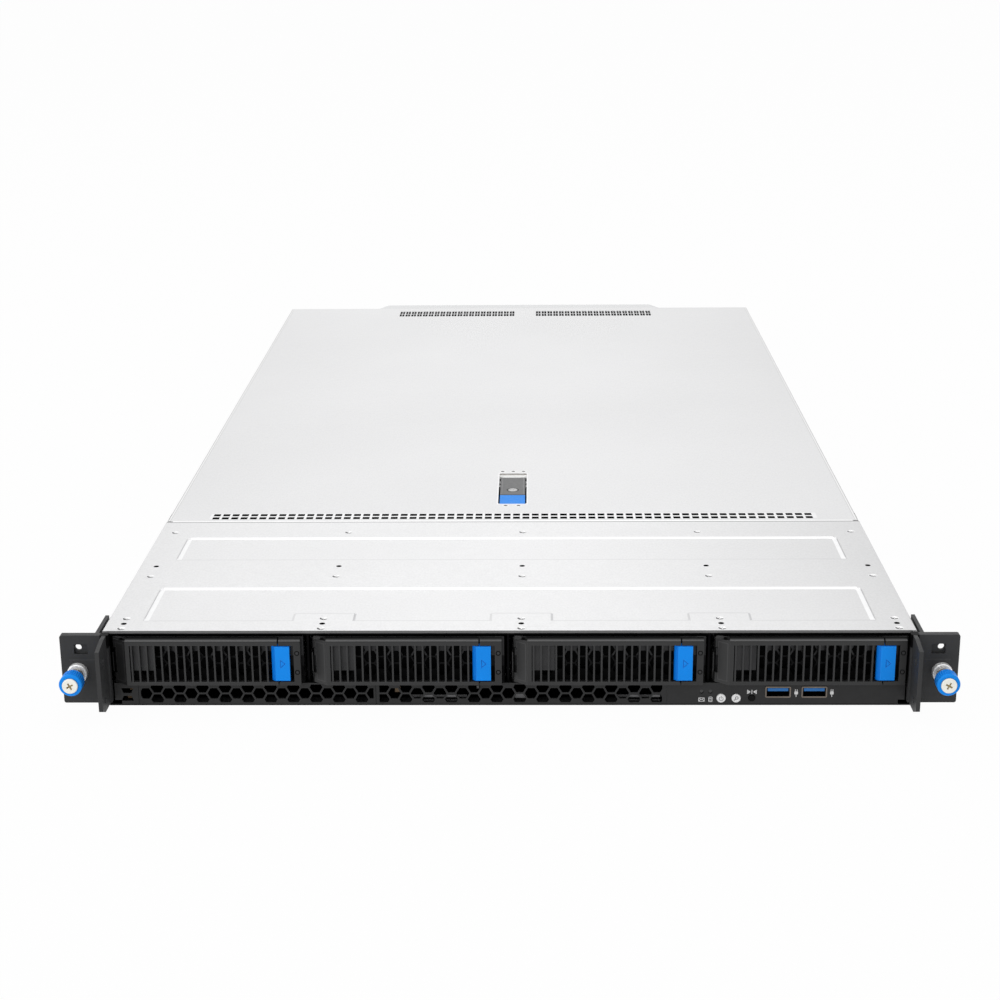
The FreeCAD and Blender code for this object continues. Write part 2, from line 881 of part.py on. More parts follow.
def make_release_button():
    x0, x1, x2 = button_span()
    z0 = window_base + button_window_gap
    z1 = window_top - button_window_gap
    front = front_plane - button_proud
    back = tray_plate_y - button_back_gap
    body = prism_z([(x0, front + button_slope), (x1, front), (x2, front), (x2, back), (x0, back)], z0, z1)
    body = body.makeChamfer(button_edge, edges_along(body, V(1, 0, 0), lambda p: p.y < front + 0.1))
    left = x1 + arrow_start
    arrow_z = z0 + arrow_middle
    arrow = [(left, arrow_z - arrow_half), (left + arrow_reach, arrow_z), (left, arrow_z + arrow_half)]
    inner = [(left + arrow_line, arrow_z - arrow_half + 0.7), (left + arrow_reach - 0.5, arrow_z),
             (left + arrow_line, arrow_z + arrow_half - 0.7)]
    groove = prism_y(arrow, front - 1, front + arrow_depth).cut(prism_y(inner, front - 2, front + 1))
    stem_x = (x1 + x2) / 2
    middle = (z0 + z1) / 2
    stem_end = tray_plate_y + tray_front_sheet + button_slot_gap
    stem = block(stem_x - button_stem_half, stem_x + button_stem_half, back, stem_end,
                 middle - button_stem_height, middle + button_stem_height)
    head = block(stem_x - button_stem_half, stem_x + button_stem_half, stem_end,
                 stem_end + button_head_sheet, middle - button_head_height, middle + button_head_height)
    return fuse(body.cut(groove), stem, head)


def make_hard_drive():
    half = drive_width / 2
    lid_low = drive_top - drive_lid_depth
    body = rounded_block(-half, half, drive_front, drive_rear, drive_base + drive_board, drive_top, 3.0,
                         V(0, 0, 1))
    cover = rounded_block(-half + drive_lid_inset, half - drive_lid_inset, drive_front + drive_lid_inset,
                          drive_rear - drive_lid_inset - 1, lid_low, drive_top + 1, 6.0, V(0, 0, 1))
    rim = rounded_block(-half + drive_rim_inset, half - drive_rim_inset, drive_front + drive_rim_inset,
                        drive_rear - drive_rim_inset - 1, lid_low, drive_top + 2, 5.0, V(0, 0, 1))
    board = block(-half + drive_board_side, half - drive_board_side, drive_front + drive_board_front,
                  drive_rear - drive_board_back, drive_base, drive_base + drive_board)
    notch = block(-connector_width / 2 - connector_gap, connector_width / 2 + connector_gap,
                  drive_rear - connector_depth - connector_gap, drive_rear + 1,
                  drive_base - 1, drive_base + 2 + connector_height + 2 * connector_gap)
    drive = fuse(body, board).cut(cover.cut(rim)).cut(notch)
    holes = []
    for setback in drive_screw_setbacks:
        for side in (-1, 1):
            x0, x1 = sorted((side * (half - drive_screw_depth), side * (half + 1)))
            holes.append(rod_x(drive_front + setback, drive_base + drive_screw_rise, drive_screw_radius,
                               x0, x1))
    return cut(drive, holes)


def make_backplane():
    rear = backplane_y + backplane_sheet
    pieces = [block(-cage_half + backplane_side, cage_half - backplane_side, backplane_y, rear,
                    base_sheet + backplane_lift, flange_under - backplane_gap)]
    plug_base = drive_base + 2 - connector_drop
    tools = []
    for x in bay_centres:
        pieces.append(block(x - connector_width / 2, x + connector_width / 2, drive_rear - connector_depth,
                            backplane_y, plug_base, plug_base + connector_height))
        for side in (-1, 1):
            middle = x + side * air_hole_offset
            tools.append(rounded_block(middle - air_hole_half, middle + air_hole_half, backplane_y - 1,
                                       rear + 1, drive_base + air_hole_margin, drive_top - air_hole_margin,
                                       3.0, V(0, 1, 0)))
    for x in divider_lines:
        half = divider_sheet / 2 + backplane_gap
        tools.append(block(x - half, x + half, backplane_y - 1, rear + 1, deck_under - backplane_gap,
                           ceiling))
    plate = fuse(*pieces)
    feet = [block(x - backplane_foot_half, x + backplane_foot_half, backplane_y, rear, base_sheet,
                  base_sheet + backplane_lift) for x in bay_centres]
    return fuse(cut(plate, tools), *feet)


def vent_openings(start, span):
    """A row of hexagons and a row above and below between them, all cut off at the edges of the vent."""
    rise = honeycomb_pitch / math.sqrt(3) / 2
    across = 2 * rise - honeycomb_wall
    y0 = -strip_front - 1
    y1 = strip_back + 1
    field = block(span[0], span[1], y0 - 1, y1 + 1, strip_base + strip_frame, strip_top - strip_frame)
    tools = []
    for k in range(-1, int((span[1] - start) / honeycomb_pitch) + 2):
        x = start + k * honeycomb_pitch
        tools.append(hexagon_y(x, honeycomb_height, across, y0, y1).common(field))
        for side in (-1, 1):
            tools.append(hexagon_y(x + honeycomb_pitch / 2, honeycomb_height + side * rise, across,
                                   y0, y1).common(field))
    return [tool for tool in tools if tool.Volume > smallest_cell]


def bow_tie():
    """Two tapered openings that face each other in the block at the left end."""
    return [prism_y([(bow_tie_x - bow_tie_wide, outer), (bow_tie_x + bow_tie_wide, outer),
                     (bow_tie_x + bow_tie_narrow, inner), (bow_tie_x - bow_tie_narrow, inner)],
                    -strip_front - 1, strip_back + 1) for outer, inner in bow_tie_heights]


def strip_plate(x0, x1):
    """Front plate with a flange behind its lower edge, and its outer lower corner cut away."""
    plate = block(x0, x1, -strip_front, strip_back, strip_base, strip_top)
    flange = block(x0 + strip_flange_margin, x1 - strip_flange_margin, strip_back,
                   strip_back + strip_flange, strip_base, strip_base + strip_flange_sheet)
    outer = x0 if x0 == -strip_half else x1
    corner = block(outer - strip_foot, outer + strip_foot, -strip_front - 1, strip_back + 1,
                   strip_base - 1, strip_base + strip_corner)
    return fuse(plate, flange).cut(corner)


def make_front_vent_panel():
    plate = strip_plate(-strip_half, control_edge - panel_joint)
    tools = vent_openings(vent_one_start, vent_one_span) + vent_openings(vent_two_start, vent_two_span)
    tools += bow_tie()
    tools += [block(x0, x1, -strip_front - 1, -strip_front + vent_groove_depth, strip_base - 1,
                    strip_top + 1) for x0, x1 in vent_grooves]
    return cut(plate, tools)


def usb_outline(x, grow, y0, y1):
    half = usb_width / 2 + grow
    tall = usb_shell_height / 2 + grow
    return block(x - half, x + half, y0, y1, usb_height - tall, usb_height + tall)


def make_control_panel():
    plate = strip_plate(control_edge, strip_half)
    tools = [rod_y(x, led_height, led_radius, -strip_front - 1, strip_back + 1) for x in led_positions]
    for x in (power_x, uid_x):
        tools.append(rod_y(x, push_height, push_radius + push_gap, -strip_front - 1, strip_back + 1))
    tools.append(rod_y(reset_x, push_height, reset_radius + push_gap, -strip_front - 1, strip_back + 1))
    tools += [usb_outline(x, usb_gap, -strip_front - 1, strip_back + 1) for x in usb_positions]
    tools += [rod_y(x, push_height, push_radius + push_room, strip_back, strip_back + strip_flange + 1)
              for x in (power_x, uid_x, reset_x)]
    return cut(plate, tools)


def make_push_button(x, radius, travel):
    back = strip_back + push_gap + push_flange
    switch_y = io_board_y - switch_depth
    front = -strip_front - push_proud
    cap = rod_y(x, push_height, radius, front, back)
    cap = cap.makeFillet(0.3, [edge for edge in cap.Edges if edge.CenterOfMass.y < front + 0.1])
    flange = rod_y(x, push_height, radius + 0.5, strip_back + push_gap, back)
    stem = rod_y(x, push_height, radius * 0.5, back, switch_y - travel - 0.1)
    return fuse(cap, flange, stem)


def make_usb_ports():
    ports = []
    for x in usb_positions:
        outer = usb_outline(x, 0, -strip_front - usb_proud, io_board_y)
        half = usb_width / 2 + usb_lip
        tall = usb_shell_height / 2 + usb_lip
        lip = rounded_block(x - half, x + half, -strip_front - usb_proud, -strip_front, usb_height - tall,
                            usb_height + tall, usb_lip_corner, V(0, 1, 0))
        inner = usb_outline(x, -usb_shell, -strip_front - usb_proud - 1, io_board_y - usb_back)
        tongue_top = usb_height + usb_shell_height / 2 - usb_shell - usb_tongue_drop
        tongue = block(x - usb_width / 2 + usb_tongue_margin, x + usb_width / 2 - usb_tongue_margin,
                       -strip_front + 0.2, io_board_y - usb_back, tongue_top - usb_tongue, tongue_top)
        ports.append(fuse(fuse(outer, lip).cut(inner), tongue))
    return Part.makeCompound(ports)


def make_front_io_board():
    board = block(led_positions[0] - io_board_margin, usb_positions[-1] + io_board_end, io_board_y,
                  io_board_y + io_board_sheet, base_sheet, deck_under - io_board_top_gap)
    switches = [block(x - switch_half, x + switch_half, io_board_y - switch_depth, io_board_y,
                      push_height - switch_half, push_height + switch_half)
                for x in (power_x, uid_x, reset_x)]
    lamps = [rod_y(x, led_height, led_radius - push_gap, strip_back, io_board_y) for x in led_positions]
    return fuse(board, *(switches + lamps))


def make_ear(side):
    """The right-hand ear, or its mirror image for the left."""
    plate_back = front_plane + ear_thickness
    plate = block(ear_inner, ear_outer, front_plane, plate_back, ear_base, ear_top)
    plate = plate.makeFillet(1.2, edges_along(plate, V(0, 1, 0), lambda p: p.x > ear_outer - 1))
    fin_x = ear_inner + fin_offset
    fin_front = front_plane - fin_reach
    fin = prism_x([(plate_back, ear_base), (plate_back, ear_top), (front_plane - fin_top_start, ear_top),
                   (fin_front, ear_top - fin_chamfer), (fin_front, ear_base + fin_foot),
                   (fin_front + fin_foot_slope, ear_base)], fin_x, fin_x + fin_thickness)
    bosses = [rod_x(front_plane - fin_boss_setback, z, fin_boss_radius, fin_x - 0.5, fin_x + 0.2)
              for z in (ear_base + fin_boss_rise, ear_top - fin_boss_drop)]
    flange_x = front_cover_half + ear_flange_gap
    flange = block(flange_x, flange_x + ear_flange_sheet, plate_back, ear_flange_length, ear_base, ear_top)
    pad_bases = (ear_base + ear_pad_rise, ceiling - cover_flange_depth - ear_pad_drop)
    pads = [block(wall_out, flange_x, ear_pad_start, ear_pad_end, z0, z0 + ear_pad_height)
            for z0 in pad_bases]
    ear = fuse(plate, fin, flange, *(bosses + pads))
    hole_z = rack_screw_height + ear_hole_rise
    pocket_x = ear_hole_x + pocket_outside
    pocket_z = hole_z + pocket_above
    tools = [rod_y(ear_hole_x, hole_z, ear_hole_radius, front_plane - 1, plate_back + 1),
             rounded_block(pocket_x - pocket_width, pocket_x, front_plane - 1, front_plane + pocket_depth,
                           pocket_z - pocket_height, pocket_z, pocket_corner, V(0, 1, 0)),
             rod_y(rack_hole_x, rack_screw_height, ferrule_neck, front_plane - 1, plate_back + 1)]
    ear = cut(ear, tools)
    return ear if side > 0 else mirror_x(ear)


def make_ferrule():
    face = front_plane - ferrule_reach
    back = front_plane + ear_thickness
    flange = rod_y(rack_hole_x, rack_screw_height, ferrule_radius, face, front_plane)
    neck = rod_y(rack_hole_x, rack_screw_height, ferrule_neck, front_plane, back)
    bore = rod_y(rack_hole_x, rack_screw_height, screw_radius + screw_clearance, face - 1, back + 1)
    ring = fuse(flange, neck)
    rim = [edge for edge in ring.Edges if edge.CenterOfMass.y < face + 0.01]
    return ring.makeFillet(0.8, rim).cut(bore)


def make_knob():
    knob = rod_y(rack_hole_x, rack_screw_height, knob_radius, -knob_front, knob_back)
    knob = knob.makeChamfer(0.5, [edge for edge in knob.Edges if edge.CenterOfMass.y != knob_back
                                  and len(edge.Vertexes) == 1])
    tools = [rod_y(rack_hole_x, rack_screw_height, screw_neck_radius, -knob_front - 1, knob_back + 1),
             rod_y(rack_hole_x, rack_screw_height, knob_well_radius, knob_back - knob_well_depth,
                   knob_back + 1)]
    for k in range(knob_flutes):
        angle = 2 * math.pi * k / knob_flutes
        x = rack_hole_x + knob_radius * math.cos(angle)
        z = rack_screw_height + knob_radius * math.sin(angle)
        tools.append(rod_y(x, z, knob_flute_radius, -knob_front + knob_rim, knob_back + 1))
    return cut(knob, tools)


def make_thumbscrew():
    """Captive screw: a head and a neck that the knob and the clip hold, and a thicker threaded end."""
    head_front = -knob_front - screw_head_height
    thread_start = clip_front + clip_sheet + screw_tail_gap
    tip = front_plane + ear_thickness + screw_tail
    head = rod_y(rack_hole_x, rack_screw_height, screw_head_radius, head_front, -knob_front)
    head = head.makeFillet(0.6, [edge for edge in head.Edges if edge.CenterOfMass.y < head_front + 0.01])
    neck = rod_y(rack_hole_x, rack_screw_height, screw_neck_radius, -knob_front, thread_start)
    thread = rod_y(rack_hole_x, rack_screw_height, screw_radius, thread_start, tip)
    thread = thread.makeChamfer(0.6, [edge for edge in thread.Edges if edge.CenterOfMass.y > tip - 0.01])
    cross = []
    for turn in (cross_turn, cross_turn + 90):
        arm = block(-cross_arm, cross_arm, head_front - 1, head_front + 1.0, -cross_half, cross_half)
        arm.rotate(V(0, 0, 0), V(0, 1, 0), turn)
        cross.append(moved(arm, rack_hole_x, 0, rack_screw_height))
    return cut(fuse(head, neck, thread), cross)


def make_clip():
    ring = rod_y(rack_hole_x, rack_screw_height, clip_radius, clip_front, clip_front + clip_sheet)
    bore = rod_y(rack_hole_x, rack_screw_height, screw_neck_radius + clip_play, clip_front - 1,
                 clip_front + clip_sheet + 1)
    return ring.cut(bore)


def make_thumb_spring():
    """Stacked rings stand for the coil between the ferrule and the well in the knob."""
    y0 = front_plane - ferrule_reach - spring_wire
    y1 = knob_back - knob_well_depth + spring_wire
    pitch = (y0 - y1) / spring_turns
    helix = Part.makeHelix(pitch, y0 - y1, spring_radius)
    helix.rotate(V(0, 0, 0), V(1, 0, 0), -90)
    helix.translate(V(rack_hole_x, y1, rack_screw_height))
    start = helix.Edges[0]
    origin = start.valueAt(start.FirstParameter)
    tangent = start.tangentAt(start.FirstParameter)
    ring = Part.Wire([Part.makeCircle(spring_wire, origin, tangent)])
    return Part.Wire(helix.Edges).makePipeShell([ring], True, True)


def make_chassis_base():
    rear_in = body_length - rear_wall
    pan = block(-wall_out, wall_out, 0, body_length, 0, wall_top)
    pan = pan.makeFillet(0.8, edges_along(pan, V(0, 1, 0), lambda p: p.z < 1))
    room = block(-wall_in, wall_in, -1, rear_in, base_sheet, wall_top + 1)
    base = pan.cut(room)
    # Openings in the rear wall for the power supplies, the slot covers and the sockets
    tools = []
    rear_out = body_length + 1
    for side in (-1, 1):
        tools.append(block(*sorted((side * (partition_x - 0.05), side * (wall_in + 0.01))), rear_in - 1,
                           rear_out, base_sheet, wall_top + 1))
    for k in (-1, 0, 1):
        x = k * slot_cover_pitch
        tools.append(block(x - slot_cover_width / 2 + slot_margin, x + slot_cover_width / 2 - slot_margin,
                           rear_in - 1, rear_out, slot_cover_base + slot_margin,
                           slot_cover_base + slot_cover_height - slot_margin))
    for x in jack_positions:
        tools.append(block(x - jack_width / 2 - port_gap, x + jack_width / 2 + port_gap, rear_in - 1,
                           rear_out, board_top - port_gap, board_top + jack_height + port_gap))
    for x in rear_usb_positions:
        tools.append(block(x - usb_width / 2 - port_gap, x + usb_width / 2 + port_gap, rear_in - 1,
                           rear_out, board_top, board_top + usb_shell_height + 2 * port_gap))
    video_half = video_shell_width / 2 + port_gap
    video_low = board_top + video_shell_rise - 0.3
    tools.append(block(video_x - video_half, video_x + video_half, rear_in - 1, rear_out, video_low,
                       video_low + video_shell_height + 1.0))
    for column in range(wall_vent_columns):
        shift = wall_vent_pitch / 2 if column % 2 else 0
        for row in range(wall_vent_rows):
            tools.append(hexagon_y(wall_vent_start + wall_vent_step * column,
                                   wall_vent_height + wall_vent_pitch * row + shift, wall_vent_across,
                                   rear_in - 1, rear_out))
    base = cut(base, tools)
    # Walls beside the power supplies, from the main room to the rear wall
    for side in (-1, 1):
        wall = block(*sorted((side * free_half, side * partition_x)), psu_front - psu_partition_reach,
                     rear_in, base_sheet, wall_top)
        base = fuse(base, wall)
    # Lip behind the rear wall
    lip_top = ceiling - rear_lip_drop
    taper = rear_lip_half - rear_lip_taper
    shoulder = body_length + rear_lip_shoulder
    lip = prism_z([(-rear_lip_half, rear_in), (rear_lip_half, rear_in), (rear_lip_half, shoulder),
                   (taper, body_length + rear_lip_reach), (-taper, body_length + rear_lip_reach),
                   (-rear_lip_half, shoulder)], lip_top - rear_lip_sheet, lip_top)
    rounds = edges_along(lip, V(0, 0, 1), lambda p: p.y > body_length + 1)
    base = fuse(base, lip.makeFillet(3.0, rounds))
    posts = []
    for x in standoff_columns:
        for y in standoff_rows:
            posts.append(rod_z(x, y, standoff_radius, base_sheet, board_base))
    for x in standoff_columns[1:-1]:
        posts.append(rod_z(x, board_rear - 30.0, standoff_radius, base_sheet, board_base))
    return fuse(base, *posts)


def make_rail_studs():
    """Headed studs on both sides, riveted to the side walls."""
    neck_end = wall_out + stud_neck
    studs = []
    for y in stud_positions:
        neck = rod_x(y, stud_height, stud_neck_radius, wall_out, neck_end)
        head = rod_x(y, stud_height, stud_head_radius, neck_end, neck_end + stud_head)
        stud = fuse(neck, head)
        studs += [stud, mirror_x(stud)]
    return Part.makeCompound(studs)


def rear_cover_vents():
    tools = []
    first = -(slot_columns - 1) / 2 * slot_pitch
    for k in range(slot_columns):
        x = first + k * slot_pitch
        for y in slot_rows:
            tools.append(block(x - slot_width / 2, x + slot_width / 2, y - slot_length / 2,
                               y + slot_length / 2, ceiling - 1, rear_cover_top + 1))
    y1 = body_length - rear_vent_setback
    y0 = y1 - rear_vent_length
    mid = (y0 + y1) / 2
    for centre in rear_vent_centres:
        for k in range(rear_vent_cells):
            x = centre + (k - (rear_vent_cells - 1) / 2) * rear_vent_pitch
            for low, high in ((y0, mid - rear_vent_bridge / 2), (mid + rear_vent_bridge / 2, y1)):
                for a, b in ((x - rear_vent_cell / 2, x - rear_vent_bridge / 4),
                             (x + rear_vent_bridge / 4, x + rear_vent_cell / 2)):
                    tools.append(block(a, b, low, high, ceiling - 1, rear_cover_top + 1))
    return tools


def make_rear_top_cover():
    y0 = front_cover_length + cover_joint_gap
    cover = channel(rear_cover_half, rear_cover_top, rear_cover_sheet, y0, body_length)
    hole = rounded_block(-latch_opening_half, latch_opening_half, latch_start, latch_end, ceiling - 1,
                         rear_cover_top + 1, 1.5, V(0, 0, 1))
    notches = []
    for side in (-1, 1):
        x0, x1 = sorted((side * (rear_cover_half - cover_notch_width), side * (rear_cover_half + 1)))
        notches.append(block(x0, x1, y0 - 1, y0 + cover_notch_length, ceiling - 0.01, rear_cover_top + 1))
    return cut(cover, rear_cover_vents() + [hole] + notches)


def make_latch_housing():
    outer_half = latch_opening_half + latch_wall
    floor = ceiling - latch_depth
    front = latch_start - latch_wall
    rear = latch_end + latch_wall
    tub = block(-outer_half, outer_half, front, rear, floor, ceiling)
    room = block(-latch_opening_half, latch_opening_half, latch_start, latch_end, floor + latch_wall,
                 ceiling + 1)
    rim_half = outer_half + latch_rim_side
    rim = block(-rim_half, rim_half, front - latch_rim_end, rear + latch_rim_end, ceiling - latch_rim_sheet,
                ceiling).cut(room)
    strip = block(-latch_opening_half, latch_opening_half,
                  latch_pivot_y + latch_hub_radius + latch_front_gap, latch_end,
                  ceiling - latch_strip_sheet, ceiling)
    pin = rod_x(latch_pivot_y, latch_pivot_z, latch_pin_radius, -latch_opening_half, latch_opening_half)
    return fuse(tub.cut(room), rim, strip, pin)


def latch_plate_span():
    return rear_cover_top - latch_sink - latch_plate, rear_cover_top - latch_sink


def make_latch_lever():
    half = latch_opening_half - latch_side_gap
    z0, z1 = latch_plate_span()
    start = latch_start + latch_front_gap + grip_length + grip_seam
    plate = block(-half, half, start, latch_pivot_y - 1.0, z0, z1)
    hub = rod_x(latch_pivot_y, latch_pivot_z, latch_hub_radius, -half, half)
    tail = block(-latch_tail_half, latch_tail_half, latch_pivot_y - latch_tail_thickness,
                 latch_pivot_y + latch_tail_thickness, latch_pivot_z - latch_tail_drop, latch_pivot_z)
    tongue = block(-half + latch_tongue_inset, half - latch_tongue_inset, start - latch_tongue, start, z0,
                   z0 + latch_tongue_sheet)
    lever = fuse(plate, hub, tail, tongue)
    tools = [rod_x(latch_pivot_y, latch_pivot_z, latch_pin_radius + latch_pin_clearance, -half - 1,
                   half + 1),
             rod_z(0, lock_y, lock_radius + lock_clearance, z0 + latch_tongue_sheet, z1 + 1),
             rod_z(0, lock_y, lock_stem_radius + lock_clearance, z0 - 1, z1)]
    return cut(lever, tools)


def make_latch_grip():
    half = latch_opening_half - latch_side_gap
    z0, z1 = latch_plate_span()
    y0 = latch_start + latch_front_gap
    y1 = y0 + grip_length
    grip = block(-half, half, y0, y1, z0 + latch_tongue_sheet, z1)
    nose = block(-half, half, y0, y1 - latch_tongue - grip_seam, z0, z0 + latch_tongue_sheet)
    return fuse(grip, nose)


def make_latch_lock():
    z0, z1 = latch_plate_span()
    seat = z0 + latch_tongue_sheet + lock_clearance
    foot = z0 - lock_stem_drop
    disc = rod_z(0, lock_y, lock_radius, seat, z1)
    stem = rod_z(0, lock_y, lock_stem_radius, foot, seat)
    bar = block(-lock_bar_reach, lock_bar_reach, lock_y - lock_bar_half, lock_y + lock_bar_half,
                foot - lock_bar_sheet, foot)
    slot = block(-lock_radius, lock_radius, lock_y - lock_slot_half, lock_y + lock_slot_half,
                 z1 - lock_slot_depth, z1 + 1)
    return fuse(disc, stem, bar).cut(slot)


def fan_centres():
    half = [fan_first + k * fan_pitch for k in range(fan_count // 2)]
    return [-x for x in reversed(half)] + half


def make_fan_housings():
    rear = fan_front + fan_depth
    housings = []
    for x in fan_centres():
        low = fan_centre - fan_size / 2
        frame = rounded_block(x - fan_size / 2, x + fan_size / 2, fan_front, rear, low, low + fan_size, 2.0,
                              V(0, 1, 0))
        frame = frame.cut(rod_y(x, fan_centre, fan_bore, fan_front - 1, rear + 1))
        motor = rod_y(x, fan_centre, fan_hub_radius, rear - fan_motor_depth, rear)
        arms = []
        for k in range(fan_arms):
            arm = block(-fan_arm_half, fan_arm_half, rear - fan_arm_depth, rear, fan_hub_radius - 1,
                        fan_bore + 0.5)
            arm.rotate(V(0, 0, 0), V(0, 1, 0), 45 + 360 / fan_arms * k)
            arms.append(moved(arm, x, 0, fan_centre))
        shaft = rod_y(x, fan_centre, fan_shaft_radius, fan_front + fan_shaft_start,
                      rear - fan_motor_depth + 1)
        housings.append(fuse(frame, motor, shaft, *arms))
    return Part.makeCompound(housings)


def make_fan_rotor(x):
    y0 = fan_front + rotor_setback
    y1 = fan_front + fan_depth - fan_motor_depth - rotor_gap
    hub = rod_y(0, 0, fan_hub_radius, y0, y1)
    bore = rod_y(0, 0, fan_shaft_radius + rotor_clearance, y0 + rotor_nose, y1 + 1)
    blades = []
    for k in range(rotor_blades):
        blade = block(fan_hub_radius - 1, fan_bore - rotor_gap, y0 + rotor_nose, y1 - rotor_tail,
                      -rotor_blade_sheet / 2, rotor_blade_sheet / 2)
        blade.rotate(V(0, (y0 + y1) / 2, 0), V(1, 0, 0), rotor_blade_tilt)
        blade.rotate(V(0, 0, 0), V(0, 1, 0), 360.0 * k / rotor_blades)
        blades.append(blade)
    wheel = fuse(hub, *blades)
    limit = rod_y(0, 0, fan_bore - rotor_gap, y0 - 2, y1 + 2)
    return moved(wheel.common(limit).cut(bore), x, 0, fan_centre)


def dimm_lines():
    """Centre lines of the memory modules, in groups on each side of each processor."""
    inner = [dimm_first + k * dimm_pitch for k in range(dimm_group)]
    start = sink_x + sink_width / 2 + dimm_outer_gap
    outer = [start + k * dimm_pitch for k in range(dimm_group)]
    half = inner + outer
    return [-x for x in reversed(half)] + half


def make_motherboard():
    wide = wall_in - board_side_gap
    narrow = free_half - board_side_gap
    knee = psu_front - board_knee
    board = prism_z([(-wide, board_front), (wide, board_front), (wide, knee), (narrow, knee),
                     (narrow, board_rear), (-narrow, board_rear), (-narrow, knee), (-wide, knee)],
                    board_base, board_top)
    pieces = [board]
    for x in (-sink_x, sink_x):
        pieces.append(block(x - socket_half, x + socket_half, sink_y + socket_inset,
                            sink_y + sink_length - socket_inset, board_top, board_top + sink_socket))
    for x in dimm_lines():
        socket = block(x - dimm_socket_half, x + dimm_socket_half, dimm_y - dimm_socket_end,
                       dimm_y + dimm_length + dimm_socket_end, board_top, board_top + dimm_socket_height)
        half = dimm_sheet / 2 + dimm_slot_side
        slot = block(x - half, x + half, dimm_y - dimm_slot_end, dimm_y + dimm_length + dimm_slot_end,
                     board_top + dimm_seat, board_top + dimm_socket_height + 1)
        pieces.append(socket.cut(slot))
    for x, y, size, tall in board_chips:
        pieces.append(block(x - size / 2, x + size / 2, y - size / 2, y + size / 2, board_top,
                            board_top + tall))
    for side in (-1, 1):
        x0 = side * (partition_x + psu_width / 2)
        pieces.append(block(x0 - psu_plug_half, x0 + psu_plug_half, knee - psu_plug_length, knee, board_top,
                            board_top + psu_plug_height))
    return fuse(*pieces)


def make_memory_modules():
    z0 = board_top + dimm_seat + dimm_foot_gap
    z1 = ceiling - dimm_top_gap
    modules = []
    for x in dimm_lines():
        face = x + dimm_sheet / 2
        module = block(x - dimm_sheet / 2, face, dimm_y, dimm_y + dimm_length, z0, z1)
        chips = []
        for k in range(chip_count):
            y0 = dimm_y + chip_start + chip_pitch * k
            chips.append(block(face - 0.1, face + chip_thickness, y0, y0 + chip_length, z1 - chip_low,
                               z1 - chip_high))
        modules.append(fuse(module, *chips))
    return Part.makeCompound(modules)


def make_cpu_heatsinks():
    z0 = board_top + sink_socket
    z1 = ceiling - sink_top_gap
    sinks = []
    for centre in (-sink_x, sink_x):
        plate = block(centre - sink_width / 2, centre + sink_width / 2, sink_y, sink_y + sink_length,
                      z0, z0 + sink_base)
        step = (sink_width - sink_fin_sheet) / (sink_fins - 1)
        fins = []
        for k in range(sink_fins):
            x = centre - sink_width / 2 + k * step
            fins.append(block(x, x + sink_fin_sheet, sink_y, sink_y + sink_length, z0 + sink_base - 0.1,
                              z1))
        sinks.append(fuse(plate, *fins))
    return Part.makeCompound(sinks)


def make_psu():
    """Right-hand power supply, standing in its bay."""
    x0 = psu_inner
    x1 = psu_inner + psu_width
    body = block(x0, x1, psu_front, psu_rear, psu_base, psu_top)
    body = body.makeFillet(0.8, edges_along(body, V(0, 1, 0), lambda p: True))
    middle = (psu_base + psu_top) / 2
    inlet_x = x0 + inlet_side + inlet_width / 2
    inlet_z = psu_base + inlet_rise + inlet_height / 2
    inlet = rounded_block(inlet_x - inlet_width / 2, inlet_x + inlet_width / 2, psu_rear - inlet_depth,
                          psu_rear + 1, inlet_z - inlet_height / 2, inlet_z + inlet_height / 2,
                          inlet_corner, V(0, 1, 0))
    fan_x = x1 - psu_fan_radius - psu_fan_side
    well = rod_y(fan_x, middle, psu_fan_radius, psu_rear - psu_fan_depth, psu_rear + 1)
    body = cut(body, [inlet, well, psu_latch_pocket()])
    blades = []
    for dx, dz in inlet_blades:
        blades.append(block(inlet_x + dx - 1, inlet_x + dx + 1, psu_rear - inlet_depth - 0.5,
                            psu_rear - inlet_blade, inlet_z + dz - 2, inlet_z + dz + 2))
    guard_front = psu_rear - guard_setback - guard_wire
    guard_back = psu_rear - guard_setback
    half_wire = guard_wire / 2
    guard = [rod_y(fan_x, middle, psu_fan_hub, psu_rear - psu_fan_depth - 0.5, guard_back)]
    for radius in guard_radii:
        ring = rod_y(fan_x, middle, radius + half_wire, guard_front, guard_back)
        guard.append(ring.cut(rod_y(fan_x, middle, radius - half_wire, guard_front - 1, guard_back + 1)))
    for k in range(2):
        bar = block(-psu_fan_radius - 0.5, psu_fan_radius + 0.5, guard_front, guard_back, -half_wire,
                    half_wire)
        bar.rotate(V(0, 0, 0), V(0, 1, 0), 45 + 90 * k)
        guard.append(moved(bar, fan_x, 0, middle))
    bar_x = psu_handle_x()
    low = middle - psu_handle_span / 2
    high = middle + psu_handle_span / 2
    outside = block(bar_x, bar_x + psu_handle_width, psu_rear - 1.0, psu_rear + psu_handle_reach, low, high)
    outside = outside.makeFillet(psu_handle_bar, edges_along(outside, V(1, 0, 0),
                                                             lambda p: p.y > psu_rear + 1))
    inside = block(bar_x - 1, bar_x + psu_handle_width + 1, psu_rear - 2.0,
                   psu_rear + psu_handle_reach - psu_handle_bar, low + psu_handle_bar,
                   high - psu_handle_bar)
    handle = outside.cut(inside)
    pin_x, pin_y = psu_latch_axis()
    pin = rod_z(pin_x, pin_y, psu_pin_radius, psu_top - psu_latch_height - 1.5, psu_top - psu_latch_drop)
    return fuse(body, handle, pin, *(blades + guard))


def psu_latch_axis():
    return psu_inner + psu_pin_side, psu_rear - psu_latch_length + psu_pin_setback


def psu_handle_x():
    return psu_inner + inlet_side + inlet_width + 1.0


